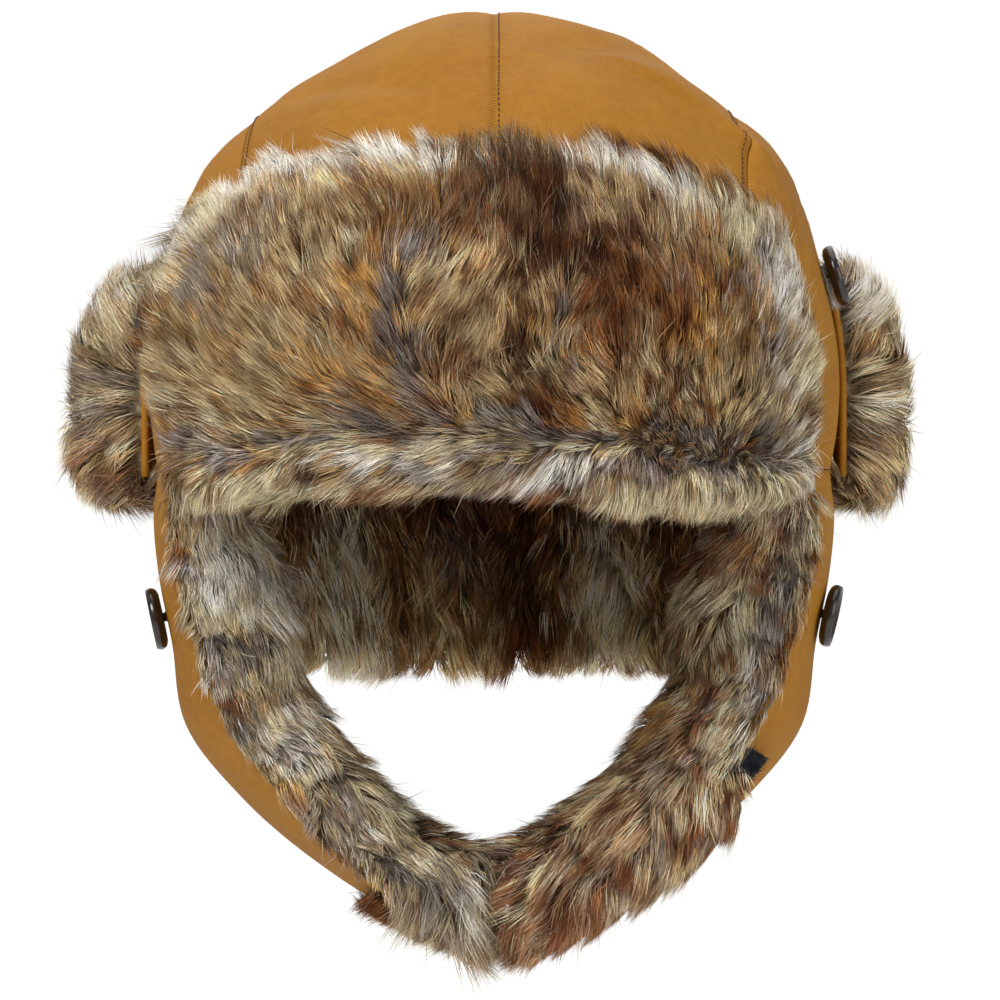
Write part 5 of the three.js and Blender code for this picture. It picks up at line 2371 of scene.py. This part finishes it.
@dataclass
class Cuff:
    """The turned-up cuff round the sides and the back.

    Attributes:
        steps: The steps of its bed round the cap, the right half first.
    """

    surface: CuffSurface = field(default_factory=CuffSurface)
    steps: int = 160
    rows: tuple[BedRow, ...] = (
        (0.0, 0, 1.5), (0.0, -5, 4), (0.0, -6, 11), (0.0, -3, 17), (0.08, 0, 19.5), (0.3, 0, 21),
        (0.55, 0, 20.5), (0.8, 0, 17.5), (0.95, 0, 13), (1.0, 2, 8), (1.0, 2, 2),
    )
    style: FurStyle = FurStyle(
        25000, 14.5, 0.25, 38.0, lock_pull=0.42, clump=3.2, clump_pull=0.52, tousle_deg=26.0, spread_deg=13.0,
        stray=0.07,
    )

    def build(self, wardrobe: Wardrobe) -> list[Object]:
        """The backing and the fur in two halves.

        Args:
            wardrobe: The materials.

        Returns:
            The pieces.
        """
        held = ("crown_side_left", "crown_side_right")
        backing = ClothSheet("cuff_backing", self.surface, 90, 12, held="folded", rests_on=held)
        base = ((UMBER, 0.6), (OLIVE, 1.0), (GREY, 0.6), (TICKED, 0.7), (CREAM, 0.7))
        colours = Colouring(base, CUFF_PATCHES, mottle=10.0, seed=90, gain=1.5)
        whole = BedPlan(self.surface, self.rows, 1, self.steps, 36, swell=self._swell).lay()
        middle = self.steps // 2
        beds = [self._cut(whole, rows) for rows in (slice(middle + 1), slice(middle, None))]
        furs = [self._fur(bed, side, colours) for bed, side in zip(beds, (Side.RIGHT, Side.LEFT))]
        underfur = Underfur("cuff_undercoat", beds, colours, 91)
        return [backing.build(wardrobe.shell)] + furred("cuff_fur", underfur, furs, wardrobe)

    def _cut(self, whole: FurBed, rows: slice) -> FurBed:
        """Some rows of the fur's bed, cut from the whole so that only its outer end is rounded."""
        names = ("points", "normals", "u", "along", "flow_u", "flow_v")
        return replace(whole, **{name: getattr(whole, name)[rows] for name in names})

    def _swell(self, u: Array) -> Array:
        """How much taller the fur is at each u."""
        return lerp(1.0, 1.18, smoothstep(u, 0.75, 1.0))

    def _fur(self, bed: FurBed, side: Side, colours: Colouring) -> Fur:
        """The hair on one half of the cuff, denser and finer towards the end that faces the front.

        Args:
            bed: The half's bed.
            side: The half.
            colours: How the hair is coloured.

        Returns:
            The fur.
        """
        outer = bed.along[0] if side is Side.RIGHT else bed.along[-1]

        def density(along: Array, across: Array) -> Array:
            """More hair near the end that faces the front."""
            return lerp(1.0, 0.4, smoothstep(np.abs(along - outer), 40.0, 90.0)) + 0.0 * across

        def flow(roots: Roots) -> Array:
            """Fanned up and down, and leaning forwards and outwards near the front end.

            Args:
                roots: Where the hair grows.

            Returns:
                The directions.
            """
            y, z = roots.point[:, 1], roots.point[:, 2]
            wander = 16.0 * (value_noise(y + 400, z + 400, 14.0, 83) - 0.5)
            fan = lerp(-0.7, 0.9, smoothstep(z + wander, 0.0, 74.0))
            near = smoothstep(-y, -60.0, 10.0)
            lean = np.stack([side.value * 0.8 * near, lerp(0.35, -0.5, near), 0.0 * near], axis=1)
            return roots.across * fan[:, None] + lean

        name = f"cuff_fur_{side.word}"
        return Fur(name, bed, self.style, flow, colours, 94, 97 + side.value, density=density)


@dataclass
class Buttons:
    """Four dished horn buttons on their shanks, and the elastic loops under the upper two.

    Attributes:
        dish: How deep the dished face is.
        rim: How wide the rim round it is.
        hole_spacing: How far each hole is from the middle, both ways.
        sides: The sides of a button's outline.
        crown_deg: How far round from the front the upper buttons are.
        crown_z: Their heights, left and right.
        lean: How far they lean up.
        crown_stand: How far their backs stand off the cloth.
        flap_section: The section of the ear flaps where the lower ones are.
        flap_across: How far across the flaps they are, left and right.
        flap_stand: How far their backs stand off the cloth.
        loop_reach: How far an elastic loop reaches from its shank.
        loop_half: Half its width.
        fuzz: The hairs of its fuzz.
    """

    radius: float = 10.0
    thickness: float = 4.0
    dish: float = 1.1
    rim: float = 1.6
    hole_radius: float = 0.9
    hole_spacing: float = 1.9
    sides: int = 56
    crown_deg: float = 82.0
    crown_z: tuple[float, float] = (61.0, 70.0)
    lean: float = 0.05
    crown_stand: float = 3.0
    flap_section: float = 3.6
    flap_across: tuple[float, float] = (0.36, 0.28)
    flap_stand: float = 2.0
    loop_reach: float = 16.0
    loop_half: float = 3.6
    fuzz: int = 420

    def build(self, wardrobe: Wardrobe) -> list[Object]:
        """The buttons, their threads and the loops.

        Args:
            wardrobe: The materials.

        Returns:
            The pieces.
        """
        made = []
        for side, z, across in zip(Side, self.crown_z, self.flap_across):
            azimuth = side.value * math.radians(self.crown_deg)
            foot = RELIEF.apply(DOME.at(np.array([azimuth]), np.array([z])), fine=False)[0]
            tilt = unit(DOME.normal(foot) + np.array([0.0, 0.0, self.lean]))
            made += self._button(f"crown_button_{side.word}", foot, tilt, self.crown_stand, wardrobe)
            made += self._loop(side, foot, tilt, wardrobe)
            flap = EarFlapSurface(side, FLAP_SECTIONS + UPPER_TIP, 0.0, float(len(FLAP_SECTIONS)))
            u = self.flap_section / len(FLAP_SECTIONS)
            point, normal, _ = flap.outward(np.array([u]), np.array([across]))
            made += self._button(f"flap_button_{side.word}", point[0], normal[0], self.flap_stand, wardrobe)
        return made

    def _button(
        self, name: str, foot: Array, facing: Array, stand: float, wardrobe: Wardrobe
    ) -> list[Object]:
        """A button with its thread.

        Args:
            name: The button's name.
            foot: Where its shank meets the cloth.
            facing: The direction that it faces.
            stand: How far its back stands off the foot.
            wardrobe: The materials.

        Returns:
            The button and its thread.
        """
        axes, disc = self._axes(facing), self._disc()
        disc.data.transform(self._matrix(axes, foot + facing * stand))
        disc.name = name + "_horn"
        disc.data.materials.clear()
        dressed(disc, Slot.BUTTON, wardrobe.horn, name)
        shank = np.array([[0.0, 0.0, 1.0], [0.0, 0.0, stand * 0.6], [0.0, 0.0, stand]])
        tubes = [tube(shank, np.array([1.9, 1.5, 1.4]), 12)]
        ends = np.array([-1.0, -0.92, -0.5, 0.0, 0.5, 0.92, 1.0]) * self.hole_spacing
        rise = np.array([-0.9, 0.1, 0.42, 0.5, 0.42, 0.1, -0.9]) + (stand + self.thickness - self.dish)
        for offset in (-self.hole_spacing, self.hole_spacing):
            for shift in (-0.34, 0.0, 0.34):
                tubes.append(tube(np.stack([ends, np.full(7, offset + shift), rise], axis=1), 0.22, 6))
        thread = Parts()
        for points, quads in tubes:
            thread.add(points @ axes + foot, quads)
        return [disc, thread.build(name + "_sewing", Slot.THREAD, wardrobe.thread, name + "_thread")]

    def _axes(self, facing: Array) -> Array:
        """Three axes as rows, the last along the facing direction, by the shortest turn from +Z.

        Args:
            facing: The direction, of length 1.

        Returns:
            The axes.
        """
        x, y, z = np.cross([0.0, 0.0, 1.0], facing)
        skew = np.array([[0, -z, y], [z, 0, -x], [-y, x, 0]])
        return (np.eye(3) + skew + skew @ skew / (1.0 + facing[2])).T

    def _matrix(self, axes: Array, origin: Array) -> Matrix:
        """The transform from the button's own millimetres to the frame's metres."""
        rows = np.concatenate([axes.T * MM, to_world(origin)[:, None]], axis=1).tolist()
        return Matrix(rows + [[0.0, 0.0, 0.0, 1.0]])

    def _disc(self) -> Object:
        """A dished disc with a rounded rim and four holes, its back on z = 0, in millimetres.

        Returns:
            The disc.
        """
        r, t, sides = self.radius, self.thickness, self.sides
        floor, inner = t - self.dish, r - self.rim
        body = np.array([
            [r * 0.6, 0.0], [r * 0.76, 0.05], [r - 0.9, 0.6], [r - 0.3, 1.3], [r, t * 0.55],
            [r - 0.08, t * 0.75],
            [r - 0.4, t - 0.15], [r - 0.8, t], [inner, t - 0.12], [inner - 0.5, floor + 0.35],
            [inner - 1.1, floor + 0.06], [r * 0.5, floor],
        ])
        turn = np.linspace(0, 2 * math.pi, sides, endpoint=False)
        ring = np.stack([np.cos(turn), np.sin(turn)], axis=1)
        level = np.repeat(body[:, None, 1:], sides, axis=1)
        wall = np.concatenate([body[:, None, :1] * ring[None], level], axis=2)
        points = np.concatenate([wall.reshape(-1, 3), [[0.0, 0.0, 0.0], [0.0, 0.0, floor]]])
        faces = Faces()
        faces.add(grid_faces(len(body), sides, wrap_columns=True)[:, ::-1])
        j, low, high = np.arange(sides), len(points) - 2, len(points) - 1
        nxt, last = (j + 1) % sides, (len(body) - 1) * sides
        faces.add(np.stack([np.full(sides, low), nxt, j], axis=1))
        faces.add(np.stack([np.full(sides, high), last + j, last + nxt], axis=1))
        disc = make_object("button_disc", points, faces)
        for x in (-self.hole_spacing, self.hole_spacing):
            for y in (-self.hole_spacing, self.hole_spacing):
                self._drill(disc, x, y)
        return disc

    def _drill(self, disc: Object, x: float, y: float) -> None:
        """Cuts a hole through the disc.

        Args:
            disc: The disc.
            x: How far the hole is to the right of its middle.
            y: How far it is above it.
        """
        sides = 16
        points, quads = tube(np.array([[x, y, -2.0], [x, y, self.thickness + 2.0]]), self.hole_radius, sides)
        faces = Faces()
        for corners in (quads, np.arange(sides)[None, ::-1], np.arange(sides, 2 * sides)[None]):
            faces.add(corners)
        cutter = make_object("button_cutter", points, faces)
        cut = disc.modifiers.new("Hole", "BOOLEAN")
        cut.operation, cut.solver, cut.object = "DIFFERENCE", "EXACT", cutter
        graph = bpy.context.evaluated_depsgraph_get()
        made = bpy.data.meshes.new_from_object(disc.evaluated_get(graph))
        disc.modifiers.clear()
        disc.data = made
        bpy.data.objects.remove(cutter)

    def _loop(self, side: Side, foot: Array, tilt: Array, wardrobe: Wardrobe) -> list[Object]:
        """The elastic loop under a crown button, with its fuzz.

        Args:
            side: The button's side.
            foot: Where the button's shank meets the cloth.
            tilt: The direction that the button faces.
            wardrobe: The materials.

        Returns:
            The cord and its fuzz.
        """
        reach, half = self.loop_reach, self.loop_half
        corner = CuffSurface().at(np.array([0.0 if side is Side.RIGHT else 1.0]), np.array([0.9]))[0]
        away = foot - corner
        away = unit(away - np.dot(away, tilt) * tilt)
        axes = np.stack([np.cross(away, tilt), away, tilt])
        outline = [
            (0, half), (half * 0.8, half * 0.6), (half, 0), (half * 0.8, -reach * 0.5), (half * 0.5, -reach),
            (0, -reach - 1), (-half * 0.5, -reach), (-half * 0.8, -reach * 0.5), (-half, 0),
            (-half * 0.8, half * 0.6),
        ]
        knots = outline[-2:] + outline + outline[:2]
        line = SmoothLine(tuple((float(x), float(y), 0.0) for x, y in knots))
        places = (2 + np.linspace(0, len(outline), 90, endpoint=False)) / (len(knots) - 1)
        path = line.at(places) @ axes + foot + tilt * 1.75
        cord, fuzz = Parts(), Parts()
        cord.add(*tube(path, 0.5, 8, closed=True))
        rng = np.random.default_rng(120 + side.value)
        taper = 0.07 * np.array([1.0, 0.9, 0.7, 0.3])
        for _ in range(self.fuzz):
            root = path[rng.integers(len(path))] + rng.normal(size=3) * 0.3
            out = unit(rng.normal(size=3) + tilt * 0.5)
            curl = rng.normal(size=3) * 0.8
            fuzz.add_hair(root, out, rng.uniform(1.5, 3.4), curl, taper)
        word, node = side.word, f"button_loop_{side.word}"
        return [
            cord.build(f"button_loop_cord_{word}", Slot.ELASTIC, wardrobe.cord, node),
            fuzz.build(f"button_loop_fuzz_{word}", Slot.ELASTIC, wardrobe.cord),
        ]


@dataclass
class Patches:
    """The hook tape by the edge of the lower flap, and the patch between the two flap tips.

    Attributes:
        stand: How far their near faces are from the middle of the flap's cloth.
        tape: The hook tape's thickness.
        pad: The other patch's thickness.
        hooks: The number of hooks that show.
    """

    stand: float = 1.8
    tape: float = 1.5
    pad: float = 1.3
    hooks: int = 420

    def build(self, wardrobe: Wardrobe) -> list[Object]:
        """The two patches and the hooks that stand on the outer one.

        Args:
            wardrobe: The materials.

        Returns:
            The pieces.
        """
        flap = EarFlapSurface(Side.RIGHT, FLAP_SECTIONS + LOWER_TIP, 0.0, float(len(FLAP_SECTIONS) + 2))
        top, low = self.stand + self.tape, -self.stand - self.pad
        return [
            self._slab("hook_patch", flap, (0.505, 0.545), (0.0, 0.16), (self.stand, top), wardrobe),
            self._slab("chin_patch", flap, (0.86, 0.96), (0.25, 0.75), (low, -self.stand), wardrobe),
            self._hooks(flap, top, wardrobe),
        ]

    def _slab(
        self, node: str, flap: Surface, span_u: Span, span_v: Span, heights: Span, wardrobe: Wardrobe
    ) -> Object:
        """A patch with rounded edges on a part of a flap.

        Args:
            node: The node that it stands for.
            flap: The flap's surface.
            span_u: Where it begins and ends along the flap.
            span_v: Where it begins and ends across the flap.
            heights: The heights of its two faces.
            wardrobe: The materials.

        Returns:
            The patch.
        """
        middle, half = sum(heights) / 2, (heights[1] - heights[0]) / 2
        upper = np.stack([np.linspace(0, 1, 13), np.ones(13)], axis=1)
        path = np.concatenate([upper, [[1, 0.5], [1, -0.5]], upper[::-1] * [1, -1], [[0, -0.5], [0, 0.5]]])
        u = np.linspace(*span_u, 17)[:, None]
        across = lerp(*span_v, path[:, 0])[None, :] + 0 * u
        height = middle + half * path[:, 1][None, :] + 0 * u
        points = flap.lifted(u + 0 * across, across, height)
        parts = Parts()
        parts.add(points.reshape(-1, 3), closed_band(*points.shape[:2], 1))
        return parts.build(node + "_tape", Slot.HOOK, wardrobe.hook, node)

    def _hooks(self, flap: Surface, height: float, wardrobe: Wardrobe) -> Object:
        """The hooks along the tape's front edge.

        Args:
            flap: The flap's surface.
            height: The height of the tape's outer face.
            wardrobe: The materials.

        Returns:
            The hooks.
        """
        rng, parts = np.random.default_rng(131), Parts()
        taper = 0.09 * np.array([1.0, 0.9, 0.8, 0.4])
        for _ in range(self.hooks):
            u, v = np.array([rng.uniform(0.504, 0.546)]), np.array([rng.uniform(0.0, 0.14)])
            point, normal, across = flap.outward(u, v)
            lean = unit(normal[0] + rng.normal(size=3) * 0.35 - across[0] * 0.5)
            foot = point[0] + normal[0] * height
            parts.add_hair(foot, lean, rng.uniform(1.2, 2.6), rng.normal(size=3) * 0.3, taper)
        return parts.build("hook_bristles", Slot.HOOK, wardrobe.hook)


@dataclass
class Studio:
    """The pale floor, the soft light and the camera.

    Attributes:
        bend: The radius of the floor's curved back.
        bend_from: How far behind the cap it begins.
        ambient: The strength of the light from all round.
        lights: Name, place, width and power of each lamp.
    """

    floor: float = -0.72
    bend: float = 1.6
    bend_from: float = 2.4
    lens: float = 105.2
    ambient: float = 0.32
    lights: tuple[tuple[str, Vector3, float, float], ...] = (
        ("key_light", (-0.9, -1.4, 1.1), 0.8, 25.0), ("fill_light", (1.3, -1.3, 0.3), 1.4, 11.0),
        ("top_light", (0.1, 0.1, 1.3), 1.4, 7.0), ("back_light", (0.0, 1.9, 1.2), 2.2, 9.0),
    )

    def build(self, wardrobe: Wardrobe) -> None:
        """Adds the floor with its curved back, the lights and the camera.

        Args:
            wardrobe: The materials.
        """
        turn = np.radians(np.linspace(0, 90, 25))
        bend_y = self.bend_from + self.bend * np.sin(turn)
        bend_z = self.floor + self.bend * (1 - np.cos(turn))
        x, y = np.meshgrid([-6.0, 6.0], np.concatenate([[-4.0, 0.0], bend_y, [bend_y[-1]]]))
        z = np.concatenate([[self.floor, self.floor], bend_z, [4.0]])[:, None] + 0 * x
        faces = Faces()
        faces.add(grid_faces(len(y), 2)[:, ::-1])
        paper = make_object("studio_floor", np.stack([x, y, z], axis=-1).reshape(-1, 3), faces)
        paper.data.materials.append(wardrobe.paper)
        for light in self.lights:
            self._light(*light)
        self._world()
        self._camera()

    def _light(self, name: str, place: Vector3, size: float, watts: float) -> None:
        """Adds a square soft light that faces the cap.

        Args:
            name: Its name.
            place: Where it is, in metres.
            size: Its width.
            watts: Its power.
        """
        data = bpy.data.lights.new(name, "AREA")
        data.size, data.energy = size, watts
        light = bpy.data.objects.new(name, data)
        light.location = place
        light.rotation_euler = (Vector((0, 0, -0.15)) - Vector(place)).to_track_quat("-Z", "Y").to_euler()
        bpy.context.scene.collection.objects.link(light)

    def _world(self) -> None:
        """Sets an even white surround."""
        world = bpy.data.worlds.new("studio_world")
        world.use_nodes = True
        graph = Graph(world.node_tree)
        back = world.node_tree.nodes["Background"]
        back.inputs["Color"].default_value = (1.0, 1.0, 1.0, 1.0)
        seen = graph.add("LightPath").outputs["Is Camera Ray"]
        level = graph.math("MULTIPLY_ADD", seen, 1.0 - self.ambient, self.ambient)
        graph.feed(back.inputs["Strength"], level)
        scene = bpy.context.scene
        scene.world = world
        scene.view_settings.view_transform = "Standard"

    def _camera(self) -> None:
        """Adds the level camera in front of the cap."""
        data = bpy.data.cameras.new("camera")
        data.sensor_width, data.lens = 36.0, self.lens
        camera = bpy.data.objects.new("camera", data)
        camera.location = (VIEW.off_axis * MM, -VIEW.distance * MM, -SEAT_MM * MM)
        camera.rotation_euler = (math.pi / 2, 0.0, 0.0)
        bpy.context.scene.collection.objects.link(camera)
        bpy.context.scene.camera = camera


EAR_LEFT_BASE = ((CREAM, 1.1), (OLIVE, 0.9), (GREY, 0.5), (TICKED, 1.0), (PALE, 0.4))
EAR_RIGHT_BASE = ((TICKED, 1.0), (CHESTNUT, 1.5), (TIPPED, 1.0), (CREAM, 0.5), (GREY, 0.25))
EAR_LEFT_PATCHES = patchwork(
    (184, 556, 14, 24, 0, GOLDEN, 16), (216, 566, 14, 40, -8, PALE, 14), (266, 592, 30, 20, -30, PALE, 16),
    (296, 618, 16, 20, 0, PALE, 16), (246, 652, 26, 18, 0, GREY, 29), (288, 672, 22, 22, 0, CREAM, 16),
    (232, 716, 20, 12, 30, CHESTNUT, 16), (268, 700, 26, 14, 0, OLIVE, 13), (286, 752, 28, 18, -20, PALE, 16),
    (304, 796, 30, 12, -36, GOLDEN, 16), (330, 812, 14, 26, -40, GREY, 25),
    (366, 778, 36, 12, -44, CREAM, 14), (392, 876, 30, 12, -40, GREY, 25), (412, 836, 44, 12, -40, CREAM, 16),
    (452, 905, 18, 26, -30, GREY, 25), (474, 900, 9, 34, -10, PALE, 18), (462, 850, 26, 8, -20, CHESTNUT, 16),
    (446, 962, 44, 16, 0, CHESTNUT, 16), (350, 872, 40, 5, -38, CHESTNUT, 16),
)
EAR_RIGHT_PATCHES = patchwork(
    (700, 574, 30, 14, 24, CHESTNUT, 16), (748, 566, 22, 14, 20, GOLDEN, 14),
    (784, 590, 18, 24, 0, GREY, 25), (690, 606, 18, 22, 0, CREAM, 16), (732, 636, 26, 16, 20, CREAM, 14),
    (766, 634, 16, 22, -20, GREY, 25), (792, 650, 12, 30, 0, CHESTNUT, 18),
    (702, 660, 22, 22, 0, OLIVE, 13), (748, 696, 8, 30, -10, PALE, 14), (762, 700, 7, 26, -10, GREY, 22),
    (774, 726, 10, 26, -10, CHESTNUT, 16), (660, 716, 34, 16, 36, GOLDEN, 11),
    (738, 752, 12, 26, -30, CREAM, 13), (610, 800, 44, 16, 36, TICKED, 11), (652, 862, 22, 8, 30, GREY, 29),
    (584, 888, 22, 8, 30, GREY, 25), (690, 846, 40, 10, 40, CHESTNUT, 14),
    (560, 930, 60, 36, 20, CHESTNUT, 14), (600, 880, 70, 24, 34, CHESTNUT, 7),
    (508, 850, 14, 16, 0, CHESTNUT, 16), (506, 896, 12, 26, 0, CHESTNUT, 13),
)


def main() -> None:
    """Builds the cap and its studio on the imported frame."""
    logging.basicConfig(level=logging.INFO, format="%(message)s")
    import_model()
    wardrobe = Wardrobe()
    left = EarFlap(
        Side.LEFT, UPPER_TIP, EAR_LEFT_BASE, EAR_LEFT_PATCHES,
        bulk=0.62, chin=1.02, hang_from=8.0, hang_z=108.0,
        turn_down=0.9, fan_x=-14.0, fur_end=8.8, gain=1.07, tip_drop=1.1, spill=0.5,
    )
    right = EarFlap(
        Side.RIGHT, LOWER_TIP, EAR_RIGHT_BASE, EAR_RIGHT_PATCHES,
        bulk=0.8, chin=1.2, hang_from=5.55, hang_z=84.0,
        # The right flap's fur is painted lighter than the left's, a painted light for the key light that
        # falls on it less.
        turn_down=0.2, fan_x=20.0, fur_end=8.97, gain=1.46, lean=-0.5, droop=1.2, overhang=0.25, tuft=True,
    )
    for assembly in (Crown(), FrontFlap(), Cuff(), left, right, NeckGuard(), Buttons(), Patches()):
        for piece in assembly.build(wardrobe):
            LOG.info("%s: %s with %d faces", type(assembly).__name__, piece.name, len(piece.data.polygons))
    Studio().build(wardrobe)


if __name__ == "__main__":
    main()
